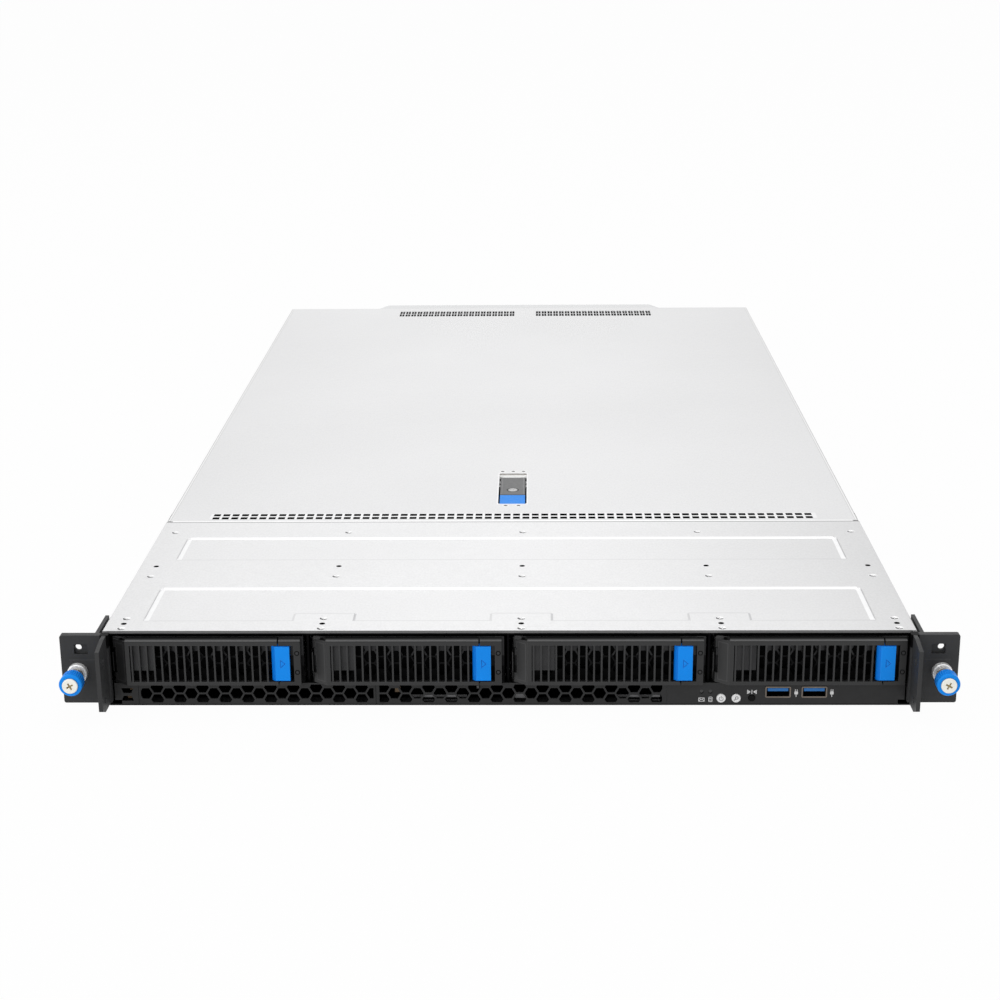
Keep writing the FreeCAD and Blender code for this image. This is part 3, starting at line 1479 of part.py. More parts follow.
def psu_latch_pocket():
    """Room at the inner rear corner of the power supply for its latch."""
    x0 = psu_inner - 1.0
    x1 = psu_inner + psu_latch_width
    y0 = psu_rear - psu_latch_length - 1.0
    z0 = psu_top - psu_latch_height
    return block(x0, x1, y0, psu_rear + 1, z0 - 1.0, psu_top + 1)


def make_psu_latch():
    """Spring tongue that swings about an upright pin at its front end, with a thumb tab behind."""
    x0 = psu_inner + psu_latch_gap
    pivot_x, pivot_y = psu_latch_axis()
    z0 = psu_top - psu_latch_height
    z1 = psu_top - psu_latch_drop
    barrel = rod_z(pivot_x, pivot_y, psu_barrel_radius, z0, z1)
    bore = rod_z(pivot_x, pivot_y, psu_pin_radius + hinge_clearance, z0 - 1, z1 + 1)
    plate_x = x0 + 0.4
    tab_y = psu_rear + 0.5
    plate = block(plate_x, plate_x + psu_latch_sheet, pivot_y, tab_y, z0, z1)
    tab = block(plate_x, plate_x + psu_tab_width, tab_y, tab_y + psu_tab_length, z0, z1)
    tab = tab.makeFillet(psu_tab_corner, edges_along(tab, V(0, 0, 1), lambda p: p.y > psu_rear + 5))
    return fuse(barrel, plate, tab).cut(bore)


def make_slot_covers():
    y1 = body_length - rear_wall
    y0 = y1 - slot_cover_sheet
    covers = []
    for k in (-1, 0, 1):
        x = k * slot_cover_pitch
        plate = block(x - slot_cover_width / 2, x + slot_cover_width / 2, y0, y1, slot_cover_base,
                      slot_cover_base + slot_cover_height)
        tools = []
        for column in range(slot_vent_columns):
            shift = slot_vent_shift if column % 2 else -slot_vent_shift
            for row in range(2):
                height = slot_cover_height / 2 - slot_vent_drop + row * slot_vent_rise + shift
                tools.append(hexagon_y(x + (column - (slot_vent_columns - 1) / 2) * slot_vent_pitch,
                                       slot_cover_base + height, 2 * slot_vent_radius, y0 - 1, y1 + 1))
        arm_right = x + slot_cover_width / 2 - card_arm_side
        arm_left = arm_right - card_arm_sheet
        card_front = y0 - card_reach
        card_left = x - card_half
        card = block(card_left, x + card_half, card_front, y0 - card_rear_gap, slot_cover_base + card_lift,
                     slot_cover_base + card_lift + card_sheet)
        arm = block(arm_left, arm_right, card_front - 2.0, y0, slot_cover_base - 0.5,
                    slot_cover_base + card_arm_height)
        leg = block(arm_left, arm_right, card_front - 2.0, card_front + card_leg_length, board_top,
                    slot_cover_base)
        shelf = block(card_left, arm_right, card_front, card_front + card_shelf_length,
                      slot_cover_base - 0.2, slot_cover_base + card_lift)
        covers.append(fuse(cut(plate, tools), arm, leg, shelf, card))
    return Part.makeCompound(covers)


def make_rear_io_ports():
    y1 = body_length + port_proud
    ports = []
    for x in jack_positions:
        shell = block(x - jack_width / 2, x + jack_width / 2, y1 - jack_length, y1, board_top,
                      board_top + jack_height)
        mouth = block(x - jack_opening_width / 2, x + jack_opening_width / 2, y1 - jack_opening_depth,
                      y1 + 1, board_top + jack_opening_rise,
                      board_top + jack_opening_rise + jack_opening_height)
        notch = block(x - jack_notch_half, x + jack_notch_half, y1 - jack_opening_depth, y1 + 1,
                      board_top + jack_notch_rise, board_top + jack_opening_rise + 0.4)
        ports.append(cut(shell, [mouth, notch]))
    for x in rear_usb_positions:
        half = usb_width / 2
        inner_top = board_top + usb_shell_height - usb_shell
        tongue_half = half - usb_tongue_margin
        tongue_top = inner_top - usb_tongue_drop
        outer = block(x - half, x + half, y1 - port_depth, y1, board_top, board_top + usb_shell_height)
        inner = block(x - half + usb_shell, x + half - usb_shell, y1 - port_depth + port_back, y1 + 1,
                      board_top + usb_shell, inner_top)
        tongue = block(x - tongue_half, x + tongue_half, y1 - port_depth + port_back, y1 - 1.0,
                       tongue_top - usb_tongue, tongue_top)
        ports.append(fuse(outer.cut(inner), tongue))
    x = video_x
    inner_y = body_length - rear_wall - 0.1
    body = block(x - video_width / 2, x + video_width / 2, y1 - port_depth, inner_y, board_top,
                 board_top + video_height)
    wide = video_shell_width / 2
    narrow = wide - video_shell_slope
    z0 = board_top + video_shell_rise
    z1 = z0 + video_shell_height
    shell = prism_y([(x - narrow, z0), (x + narrow, z0), (x + wide, z1), (x - wide, z1)], inner_y - 0.5,
                    y1 + video_shell_reach)
    low = z0 + video_shell_wall
    high = z1 - video_shell_wall
    core_narrow = narrow - video_shell_wall
    core_wide = wide - video_shell_wall - 0.1
    core = prism_y([(x - core_narrow, low), (x + core_narrow, low), (x + core_wide, high),
                    (x - core_wide, high)], y1 + 0.5, y1 + video_shell_reach + 1)
    ports.append(fuse(body, shell).cut(core))
    return Part.makeCompound(ports)


def build_parts():
    parts = {}
    parts["chassis_base"] = make_chassis_base()
    parts["front_top_cover"] = make_front_top_cover()
    parts["cover_screws"] = make_cover_screws()
    parts["drive_cage"] = make_drive_cage()
    parts["rail_studs"] = make_rail_studs()
    parts["left_ear"] = make_ear(-1)
    parts["right_ear"] = make_ear(1)
    parts["front_vent_panel"] = make_front_vent_panel()
    parts["control_panel"] = make_control_panel()
    parts["rear_top_cover"] = make_rear_top_cover()
    parts["latch_housing"] = make_latch_housing()
    parts["latch_lever"] = make_latch_lever()
    parts["latch_grip"] = make_latch_grip()
    parts["latch_lock"] = make_latch_lock()
    tray = make_drive_tray()
    lever = make_tray_lever()
    drive = make_hard_drive()
    button = make_release_button()
    for i, x in enumerate(bay_centres):
        parts["drive_tray_%d" % (i + 1)] = moved(tray, x)
        parts["hard_drive_%d" % (i + 1)] = moved(drive, x)
        parts["tray_lever_%d" % (i + 1)] = moved(lever, x)
        parts["release_button_%d" % (i + 1)] = moved(button, x)
    return parts


def build_more_parts():
    parts = {}
    ferrule = make_ferrule()
    spring = make_thumb_spring()
    knob = make_knob()
    screw = make_thumbscrew()
    clip = make_clip()
    parts["thumbscrew_ferrules"] = Part.makeCompound([ferrule, mirror_x(ferrule)])
    parts["thumbscrew_springs"] = Part.makeCompound([spring, mirror_x(spring)])
    for name, side in (("left", -1), ("right", 1)):
        place = mirror_x if side < 0 else moved_nowhere
        parts[name + "_thumbscrew_knob"] = place(knob)
        parts[name + "_thumbscrew_screw"] = place(screw)
        parts[name + "_thumbscrew_clip"] = place(clip)
    parts["power_button"] = make_push_button(power_x, push_radius, push_travel)
    parts["uid_button"] = make_push_button(uid_x, push_radius, push_travel)
    parts["reset_button"] = make_push_button(reset_x, reset_radius, reset_travel)
    parts["usb_ports"] = make_usb_ports()
    parts["front_io_board"] = make_front_io_board()
    parts["backplane"] = make_backplane()
    parts["fan_housings"] = make_fan_housings()
    for i, x in enumerate(fan_centres()):
        parts["fan_rotor_%d" % (i + 1)] = make_fan_rotor(x)
    parts["motherboard"] = make_motherboard()
    parts["cpu_heatsinks"] = make_cpu_heatsinks()
    parts["memory_modules"] = make_memory_modules()
    parts["slot_covers"] = make_slot_covers()
    parts["rear_io_ports"] = make_rear_io_ports()
    psu = make_psu()
    psu_latch = make_psu_latch()
    parts["psu_module_1"] = mirror_x(psu)
    parts["psu_module_2"] = psu
    parts["psu_latch_1"] = mirror_x(psu_latch)
    parts["psu_latch_2"] = psu_latch
    return parts


def moved_nowhere(shape):
    return shape.copy()


os.makedirs("parts", exist_ok=True)
all_parts = build_parts()
all_parts.update(build_more_parts())
for part_name, part_shape in all_parts.items():
    part_shape.translate(V(0, -body_length / 2, 0))
    part_shape.exportStep("parts/%s.step" % part_name)
    print(part_name, len(part_shape.Solids), part_shape.isValid(), round(part_shape.Volume, 1))
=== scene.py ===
"""Looks of a one unit rack server over its CAD frame: materials, small details, light and camera."""
import math

import bmesh
import bpy
from mathutils import Matrix, Vector


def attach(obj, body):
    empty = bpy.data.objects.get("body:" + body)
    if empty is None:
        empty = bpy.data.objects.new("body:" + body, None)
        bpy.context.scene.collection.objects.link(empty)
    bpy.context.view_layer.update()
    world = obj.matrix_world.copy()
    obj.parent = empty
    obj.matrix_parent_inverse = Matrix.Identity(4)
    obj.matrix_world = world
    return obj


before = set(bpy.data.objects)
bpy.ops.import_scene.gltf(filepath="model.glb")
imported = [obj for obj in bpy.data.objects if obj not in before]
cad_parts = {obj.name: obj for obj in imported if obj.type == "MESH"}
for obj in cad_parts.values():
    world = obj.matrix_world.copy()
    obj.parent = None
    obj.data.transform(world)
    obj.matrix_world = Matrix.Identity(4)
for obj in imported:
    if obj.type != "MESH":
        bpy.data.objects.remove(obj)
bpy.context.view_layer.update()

# Places are given as in the drawing of the server: millimetres, with Y from the front edge of the top cover
MM = 0.001
BODY_LENGTH = 842.5
BAY_PITCH = 108.4
BAY_CENTRES = [(bay - 1.5) * BAY_PITCH for bay in range(4)]
FRONT_PLANE = -6.0
STRIP_FRONT = -1.2
SEAM = 187.0
COVER_TOP = 43.4
CEILING = 42.6
LID = 40
WALL_IN = 217.6
WALL_OUT = 218.6
LIP_HALF = 217.0
TUB_HALF = 9.25
DECK_TOP = 13.6
DRIVE_BASE = 14.8
DRIVE_TOP = 40.9
BOARD_TOP = 7.8
PSU_REAR = 843.5
SCREW_ROWS = (166.0, 86.0, 18.3, 3.6)
HOLE_ROWS = (103.4, 10.6)
FIRST_COLUMN = -2 * BAY_PITCH + 7.1
LAST_COLUMN = 2 * BAY_PITCH - 6.3
LOCK_PLACE = (0.0, 257.4)
SLOT_PITCH = 6.0
SLOT_ROWS = (195.0, 201.3)
SLOT_ROW_HALF = 191.2
PANELS = ((15.2, 65.5), (115.0, 154.5))
USB_PLACES = (146.1, 165.7)
BUTTON_FACE = -1.9
VENT_BACK = 2.4
JACK_PLACES = (-112.0, -88.0, -66.0)
REAR_USB_PLACES = (-38.0, -20.0)
BLACK = (0.006, 0.006, 0.0062)

# Open sides of a mask's box, beyond the part that it paints
FAR = 400
ABOVE = 60
BEHIND = 900

# Colour sockets of a Mix node, whose names are the same for numbers and colours
MIX_COLOUR_A = 6
MIX_COLOUR_B = 7
MIX_COLOUR_OUT = 2
BEVEL_SAMPLES = 4


def at(x, y, z):
    return Vector((x * MM, (y - BODY_LENGTH / 2) * MM, z * MM))


def span(side, near, far):
    """Both ends of a stretch of X on one side of the middle, the lower one first."""
    return sorted((side * near, side * far))


# Materials

class Look:
    """One material: painted in layers, each layer a colour, a roughness and a metallic value."""

    def __init__(self, name, colour, roughness, metallic=0.0, specular=0.5):
        self.material = bpy.data.materials.new(name)
        self.material.use_nodes = True
        self.material.diffuse_color = (*colour, 1.0)
        self.tree = self.material.node_tree
        self.tree.nodes.clear()
        self.shader = self.tree.nodes.new("ShaderNodeBsdfPrincipled")
        output = self.tree.nodes.new("ShaderNodeOutputMaterial")
        self.tree.links.new(self.shader.outputs["BSDF"], output.inputs["Surface"])
        self.place = self.tree.nodes.new("ShaderNodeTexCoord").outputs["Object"]
        self.colour = (*colour, 1.0)
        self.roughness = roughness
        self.metallic = metallic
        self.normal = None
        self.shader.inputs["Specular IOR Level"].default_value = specular

    def join(self, value, socket):
        if isinstance(value, bpy.types.NodeSocket):
            self.tree.links.new(value, socket)
        else:
            socket.default_value = value

    def sum(self, operation, *values):
        node = self.tree.nodes.new("ShaderNodeMath")
        node.operation = operation
        for value, socket in zip(values, node.inputs):
            self.join(value, socket)
        return node.outputs[0]

    def noise(self, scale, detail=2.0, stretch=(1.0, 1.0, 1.0)):
        mapping = self.tree.nodes.new("ShaderNodeMapping")
        self.tree.links.new(self.place, mapping.inputs["Vector"])
        mapping.inputs["Scale"].default_value = stretch
        node = self.tree.nodes.new("ShaderNodeTexNoise")
        self.tree.links.new(mapping.outputs[0], node.inputs["Vector"])
        node.inputs["Scale"].default_value = scale
        node.inputs["Detail"].default_value = detail
        return node.outputs["Fac"]

    def cells(self, scale, feature="F1"):
        node = self.tree.nodes.new("ShaderNodeTexVoronoi")
        node.feature = feature
        self.tree.links.new(self.place, node.inputs["Vector"])
        node.inputs["Scale"].default_value = scale
        return node.outputs["Distance"]

    def spread(self, value, low, high, out_low, out_high):
        node = self.tree.nodes.new("ShaderNodeMapRange")
        for part, socket in zip((value, low, high, out_low, out_high), node.inputs):
            self.join(part, socket)
        return node.outputs[0]

    def blend(self, factor, first, second):
        node = self.tree.nodes.new("ShaderNodeMix")
        node.data_type = "RGBA"
        self.join(factor, node.inputs["Factor"])
        self.join(first, node.inputs[MIX_COLOUR_A])
        self.join(second, node.inputs[MIX_COLOUR_B])
        return node.outputs[MIX_COLOUR_OUT]

    def axes(self):
        """X, Y and Z of the place on the part."""
        split = self.tree.nodes.new("ShaderNodeSeparateXYZ")
        self.tree.links.new(self.place, split.inputs[0])
        return split.outputs

    def within(self, low, high):
        """1 inside a box, 0 outside it. The corners are points in the frame."""
        parts = self.axes()
        mask = None
        for axis in range(3):
            for limit, operation in ((low[axis], "GREATER_THAN"), (high[axis], "LESS_THAN")):
                side = self.sum(operation, parts[axis], limit)
                mask = side if mask is None else self.sum("MULTIPLY", mask, side)
        return mask

    def disc(self, x, y, radius, pitch=None):
        """1 near an upright line, in the drawing's millimetres; a pitch repeats it along X."""
        parts = self.axes()
        centre = at(x, y, 0.0)
        across = self.sum("SUBTRACT", parts[0], centre.x)
        along = self.sum("SUBTRACT", parts[1], centre.y)
        if pitch is not None:
            across = self.sum("WRAP", across, pitch * MM / 2, -pitch * MM / 2)
        square = self.sum("ADD", self.sum("MULTIPLY", across, across), self.sum("MULTIPLY", along, along))
        return self.sum("LESS_THAN", square, (radius * MM) ** 2)

    def columns(self, y, radius, dx=0.0, dy=0.0):
        """Round marks at the five screw columns of the front cover."""
        inner = self.disc(FIRST_COLUMN + dx, y + dy, radius, BAY_PITCH)
        return self.sum("MAXIMUM", inner, self.disc(LAST_COLUMN + dx, y + dy, radius))

    def slot_row(self, y, half_x, half_y):
        """Oblong marks at the slots of one row of the rear cover, with a slot pitch between them."""
        across = self.sum("SUBTRACT", self.axes()[0], SLOT_PITCH * MM / 2)
        across = self.sum("WRAP", across, SLOT_PITCH * MM / 2, -SLOT_PITCH * MM / 2)
        narrow = self.sum("LESS_THAN", self.sum("ABSOLUTE", across), half_x * MM)
        band = self.within(at(-SLOT_ROW_HALF, y - half_y, LID), at(SLOT_ROW_HALF, y + half_y, ABOVE))
        return self.sum("MULTIPLY", narrow, band)

    def layer(self, mask, colour=None, roughness=None, metallic=None):
        if colour is not None:
            self.colour = self.blend(mask, self.colour, (*colour, 1.0))
        if roughness is not None:
            self.roughness = self.spread(mask, 0.0, 1.0, self.roughness, roughness)
        if metallic is not None:
            self.metallic = self.spread(mask, 0.0, 1.0, self.metallic, metallic)

    def blacken(self, mask):
        """A place that no light reaches."""
        self.layer(mask, BLACK, 0.6, 1.0)

    def mottle(self, scale, amount, detail=3.0, stretch=(1.0, 1.0, 1.0)):
        """Soft patches, lighter and darker than the colour beneath."""
        cloud = self.noise(scale, detail, stretch)
        self.scale_colour(self.spread(cloud, 0.3, 0.7, 1.0 - amount, 1.0 + amount))

    def paint_light_fall_off(self, middle, half, amount):
        """Painted shade: the sheet darkens softly towards its left and right edges, where less light falls.
        """
        share = self.sum("DIVIDE", self.sum("SUBTRACT", self.axes()[0], middle * MM), half * MM)
        drop = self.sum("MULTIPLY", self.sum("MULTIPLY", share, share), amount)
        self.scale_colour(self.sum("SUBTRACT", 1.0, drop))

    def scale_colour(self, shade):
        node = self.tree.nodes.new("ShaderNodeVectorMath")
        node.operation = "SCALE"
        painted = isinstance(self.colour, bpy.types.NodeSocket)
        self.join(self.colour if painted else self.colour[:3], node.inputs[0])
        self.join(shade, node.inputs["Scale"])
        self.colour = node.outputs[0]

    def uneven(self, scale, amount, stretch=(1.0, 1.0, 1.0)):
        """A roughness that varies a little over the surface."""
        change = self.spread(self.noise(scale, 2.0, stretch), 0.3, 0.7, -amount, amount)
        self.roughness = self.sum("ADD", self.roughness, change)

    def relief(self, height, distance, strength):
        node = self.tree.nodes.new("ShaderNodeBump")
        node.inputs["Strength"].default_value = strength
        node.inputs["Distance"].default_value = distance
        self.tree.links.new(height, node.inputs["Height"])
        if self.normal is not None:
            self.tree.links.new(self.normal, node.inputs["Normal"])
        self.normal = node.outputs[0]

    def soft_edges(self, radius):
        node = self.tree.nodes.new("ShaderNodeBevel")
        node.samples = BEVEL_SAMPLES
        node.inputs["Radius"].default_value = radius
        self.normal = node.outputs[0]

    def paint_edge_highlights(self, radius, colour, amount):
        """A painted highlight: a lighter line along the edges, found by comparing a rounded normal with the
        true one.
        """
        rounded = self.tree.nodes.new("ShaderNodeBevel")
        rounded.samples = BEVEL_SAMPLES
        rounded.inputs["Radius"].default_value = radius
        geometry = self.tree.nodes.new("ShaderNodeNewGeometry")
        dot = self.tree.nodes.new("ShaderNodeVectorMath")
        dot.operation = "DOT_PRODUCT"
        self.tree.links.new(rounded.outputs[0], dot.inputs[0])
        self.tree.links.new(geometry.outputs["Normal"], dot.inputs[1])
        edge = self.spread(dot.outputs["Value"], 0.98, 0.80, 0.0, amount)
        self.colour = self.blend(edge, self.colour, (*colour, 1.0))

    def done(self):
        self.join(self.colour, self.shader.inputs["Base Color"])
        self.join(self.roughness, self.shader.inputs["Roughness"])
        self.join(self.metallic, self.shader.inputs["Metallic"])
        if self.normal is not None:
            self.tree.links.new(self.normal, self.shader.inputs["Normal"])
        return self.material


# SHEET is the sheet's own colour; the three after it are a painted highlight, painted light and painted
# half shade for its bends, edges and screw heads
SHEET = (0.835, 0.835, 0.84)
SHEET_HIGHLIGHT = (1.0, 1.0, 1.0)
SHEET_LIT = (0.90, 0.90, 0.905)
SHEET_SHADE = (0.68, 0.68, 0.685)


def zinc_look(name, colour=(0.74, 0.745, 0.75), roughness=0.42):
    look = Look(name, colour, roughness, metallic=0.8)
    look.mottle(6.0, 0.02)
    look.mottle(900.0, 0.035, 2.0, (1.0, 0.6, 1.0))
    look.uneven(260.0, 0.05)
    look.relief(look.noise(1500.0, 2.0), 0.00002, 0.25)
    return look


def zinc_sheet(name, colour, roughness):
    return zinc_look(name, colour, roughness).done()


def front_cover_material():
    """Sheet with two pressed panels: painted highlights on their rear slopes and painted light on their
    inner sides, painted half shade on their front slopes and outer sides; painted shade round the notches,
    in the holes, at the seam and on the front lip; and a painted fall-off of the light towards the left and
    right edges.
    """
    look = zinc_look("front_cover_steel", SHEET)

    def band(x0, x1, y0, y1, colour):
        look.layer(look.within(at(x0, y0, LID), at(x1, y1, ABOVE)), colour)

    # Painted half shade on the front slopes and the outer sides of the panels
    for near, far in PANELS:
        band(-200.0, 200.0, near - 0.6, near + 0.5, SHEET_SHADE)
        for side in (-1, 1):
            x0, x1 = span(side, 200.4, 199.6)
            band(x0, x1, near, far - 1.0, (0.74, 0.74, 0.745))
    # At each notch the front slope keeps the plain colour, with painted shade round the notch, darker on
    # its right side
    for x in [FIRST_COLUMN + (i + 1) * BAY_PITCH for i in range(3)]:
        band(x - 16.0, x + 16.0, 14.0, 16.0, SHEET)
        band(x - 16.5, x + 16.5, 25.6, 27.4, (0.71, 0.71, 0.715))
        band(x - 17.4, x - 16.1, 15.0, 26.2, (0.71, 0.71, 0.715))
        band(x + 16.1, x + 17.4, 15.0, 26.2, (0.62, 0.62, 0.63))
    # Painted shade along the rear edge at the seam
    band(-FAR, FAR, SEAM - 1.6, SEAM + 1.0, (0.50, 0.50, 0.505))
    # Painted shade in the holes
    for y in HOLE_ROWS:
        look.blacken(look.columns(y, 1.6))
    # Painted fall-off of the light towards the left and right edges
    look.paint_light_fall_off(-40.0, 220.0, 0.15)
    # Painted light on the inner sides and painted highlights on the rear slopes of the panels
    for near, far in PANELS:
        for side in (-1, 1):
            x0, x1 = span(side, 199.6, 197.0)
            band(x0, x1, near, far, SHEET_LIT)
        band(-198.0, 198.0, far - 1.4, far + 1.7, SHEET_HIGHLIGHT)
    # Painted shade on the front lip, and black painted shade below it
    lip = look.within(at(-LIP_HALF, -2.0, 0), at(LIP_HALF, 0.15, ABOVE))
    look.layer(lip, (0.18, 0.18, 0.181), 0.6, 0.2)
    look.blacken(look.within(at(-LIP_HALF, -2.0, 0), at(LIP_HALF, 0.15, 42.15)))
    return look.done()


def rear_cover_material():
    """Sheet with a painted highlight on its bent edge at the seam, painted light round its slots and the
    latch opening, painted light and shade along its folded sides, painted shade in and below its slots, and
    a painted fall-off of the light towards the left and right edges.
    """
    look = zinc_look("rear_cover_steel", (0.795, 0.795, 0.80))
    # Painted highlight on the bent edge at the seam
    look.layer(look.within(at(-FAR, SEAM, LID), at(FAR, SEAM + 2.6, ABOVE)), SHEET_HIGHLIGHT)
    # Painted light round the slot rows
    look.layer(look.within(at(-193, 193.6, CEILING), at(194, 204.4, ABOVE)), SHEET_LIT)
    # Painted shade in the slots
    for y in SLOT_ROWS:
        look.blacken(look.slot_row(y, 2.2, 2.1))
    # Painted light round the latch opening
    look.layer(look.within(at(-10.2, 223.0, CEILING), at(10.2, 293.8, ABOVE)), SHEET_LIT)
    # Painted fall-off of the light towards the left and right edges
    look.paint_light_fall_off(-25.0, 220.0, 0.07)
    # Painted shade and light along the folded side edges
    for side in (-1, 1):
        for x0, x1, shade in ((216.9, 217.5, 0.64), (217.5, 218.2, 0.86), (218.2, 225.0, 0.60)):
            low, high = span(side, x0, x1)
            look.layer(look.within(at(low, SEAM, LID), at(high, BEHIND, ABOVE)), (shade, shade, shade))
    # Painted shade below the top face round the slots
    look.blacken(look.within(at(-FAR, 192.0, LID), at(FAR, 204.4, 43.2)))
    return look.done()


def chassis_material():
    """Bare sheet outside; the duct under the drives lies in the dark."""
    look = zinc_look("chassis_steel")
    look.blacken(look.within(at(-WALL_OUT, -3, 0.9), at(WALL_OUT, 150, DECK_TOP)))
    look.blacken(look.within(at(-FAR, -3, -1), at(FAR, 1.5, ABOVE)))
    # Painted shade in the gaps under the cover seam on both sides
    for side in (-1, 1):
        low, high = span(side, 214.6, 219.4)
        look.blacken(look.within(at(low, 185.0, LID), at(high, 190.0, ABOVE)))
    return look.done()


def cage_steel():
    look = Look("cage_steel", (0.50, 0.51, 0.52), 0.38, metallic=0.95)
    look.mottle(40.0, 0.10)
    look.mottle(500.0, 0.06, 2.0, (1.0, 0.2, 1.0))
    look.blacken(look.within(at(-WALL_IN, -5, 0), at(WALL_IN, 8, ABOVE)))
    look.blacken(look.within(at(-WALL_IN, -5, 0), at(WALL_IN, 150, DECK_TOP - 0.1)))
    look.uneven(120.0, 0.08)
    look.relief(look.noise(900.0), 0.00003, 0.2)
    return look.done()


def coat_look(name, colour, edge_highlight_share=0.25):
    look = Look(name, colour, 0.52, specular=0.35)
    look.soft_edges(0.00025)
    look.mottle(30.0, 0.12)
    # Painted highlights along the edges
    look.paint_edge_highlights(0.0004, (0.10, 0.10, 0.105), edge_highlight_share)
    look.uneven(300.0, 0.06)
    look.relief(look.noise(2600.0, 3.0), 0.00004, 0.35)
    return look


def powder_coat(name, colour, edge_highlight_share):
    return coat_look(name, colour, edge_highlight_share).done()


def ear_material():
    """Coated ears, with a paler line under the small hole, along the lower edge of a raised label panel,
    and painted shade at the top of the fin.
    """
    look = coat_look("black_paint", (0.027, 0.0275, 0.0285))
    for side in (-1, 1):
        low, high = span(side, 223.0, 237.0)
        look.layer(look.within(at(low, -6.5, 29.0), at(high, -5.0, 29.5)), (0.050, 0.050, 0.051))
        low, high = span(side, 214.5, 219.5)
        look.blacken(look.within(at(low, -7.0, 36.0), at(high, 0.0, ABOVE)))
    return look.done()


def moulded_look(name, colour, roughness, specular):
    """Plastic from a mould with a fine spark-eroded texture."""
    look = Look(name, colour, roughness, specular=specular)
    look.soft_edges(0.0002)
    look.mottle(25.0, 0.06)
    look.uneven(400.0, 0.05)
    look.relief(look.noise(3200.0, 2.0), 0.00002, 0.25)
    return look


def moulded(name, colour, roughness, specular):
    return moulded_look(name, colour, roughness, specular).done()


def shade_bezel(look):
    """The top slope of a carrier front: painted shade at the back, with a painted highlight along its front
    edge and painted shade just below it.
    """
    top = 39.7
    look.blacken(look.within(at(-FAR, -3.9, top), at(FAR, -2.9, ABOVE)))
    look.layer(look.within(at(-FAR, -4.6, top), at(FAR, -3.9, ABOVE)), (0.022, 0.022, 0.0225), 0.6, 1.0)
    look.layer(look.within(at(-FAR, -5.9, top), at(FAR, -5.1, ABOVE)), (0.055, 0.055, 0.056))
    look.layer(look.within(at(-FAR, -6.5, 39.1), at(FAR, -5.5, 39.8)), (0.013, 0.013, 0.0135))


def lever_material():
    """Black lever of a carrier, with painted highlights along its edges and a thin line that frames its
    cheek.
    """
    look = moulded_look("black_plastic", (0.019, 0.019, 0.0195), 0.40, 0.4)
    # Painted highlights along the edges
    look.paint_edge_highlights(0.0004, (0.13, 0.13, 0.135), 0.35)
    shade_bezel(look)
    line = (0.045, 0.045, 0.046)
    for x in BAY_CENTRES:
        for left, right in ((x - 49.7, x - 49.3), (x - 45.0, x - 44.6)):
            look.layer(look.within(at(left, -7, 16.0), at(right, -0.5, 38.2)), line)
        for low in (16.0, 37.8):
            look.layer(look.within(at(x - 49.7, -7, low), at(x - 44.6, -0.5, low + 0.4)), line)
    return look.done()


def carrier_material():
    """Black moulded front with a coated steel tray behind it."""
    look = Look("tray_steel", (0.017, 0.017, 0.0175), 0.42, specular=0.35)
    look.soft_edges(0.00025)
    # The mesh gets painted light near its top, painted half shade lower down and black painted shade at its
    # foot
    mesh = look.within(at(-FAR, -1.75, 30.0), at(FAR, -0.5, ABOVE))
    mesh_middle = look.within(at(-FAR, -1.75, 24.0), at(FAR, -0.5, 30.0))
    mesh_foot = look.within(at(-FAR, -1.75, 0), at(FAR, -0.5, 24.0))
    rails = look.within(at(-FAR, 8.0, 0), at(FAR, FAR, ABOVE))
    look.mottle(30.0, 0.08)
    # Painted highlights along the edges
    look.paint_edge_highlights(0.0004, (0.11, 0.11, 0.115), 0.35)
    shade_bezel(look)
    look.layer(mesh, (0.030, 0.030, 0.031), 0.30, 1.0)
    look.layer(mesh_middle, (0.012, 0.012, 0.0125), 0.45, 1.0)
    look.blacken(mesh_foot)
    look.layer(rails, (0.36, 0.365, 0.37), 0.36, 0.95)
    look.uneven(300.0, 0.06)
    look.relief(look.noise(2600.0, 2.0), 0.00003, 0.3)
    return look.done()


def drive_material():
    look = Look("drive_case", (0.50, 0.505, 0.52), 0.34, metallic=0.9)
    lid = look.within(at(-FAR, 0, DRIVE_TOP - 0.6), at(FAR, FAR, ABOVE))
    board = look.within(at(-FAR, 0, 0), at(FAR, FAR, DRIVE_BASE + 1.55))
    look.mottle(60.0, 0.08)
    look.layer(lid, (0.62, 0.625, 0.63), 0.28, 1.0)
    look.layer(board, (0.012, 0.085, 0.045), 0.35, 0.0)
    look.blacken(look.within(at(-FAR, 0, 0), at(FAR, 8, ABOVE)))
    look.uneven(200.0, 0.06)
    look.relief(look.noise(700.0, 3.0), 0.00004, 0.3)
    return look.done()


def circuit_board(name, parts_box=None):
    """Solder mask with faint copper traces under it; what lies in the parts' box is black plastic."""
    look = Look(name, (0.010, 0.075, 0.040), 0.30, specular=0.5)
    traces = look.spread(look.cells(160.0, "DISTANCE_TO_EDGE"), 0.03, 0.06, 1.0, 0.0)
    look.mottle(50.0, 0.10)
    look.layer(look.sum("MULTIPLY", traces, 0.55), (0.03, 0.17, 0.08))
    pads = look.spread(look.cells(420.0), 0.16, 0.13, 0.0, 1.0)
    look.layer(look.sum("MULTIPLY", pads, 0.7), (0.60, 0.58, 0.50), 0.3)
    if parts_box is not None:
        look.layer(look.within(*parts_box), (0.014, 0.014, 0.015), 0.45, 0.0)
    look.relief(look.noise(1200.0), 0.00002, 0.2)
    return look.done()


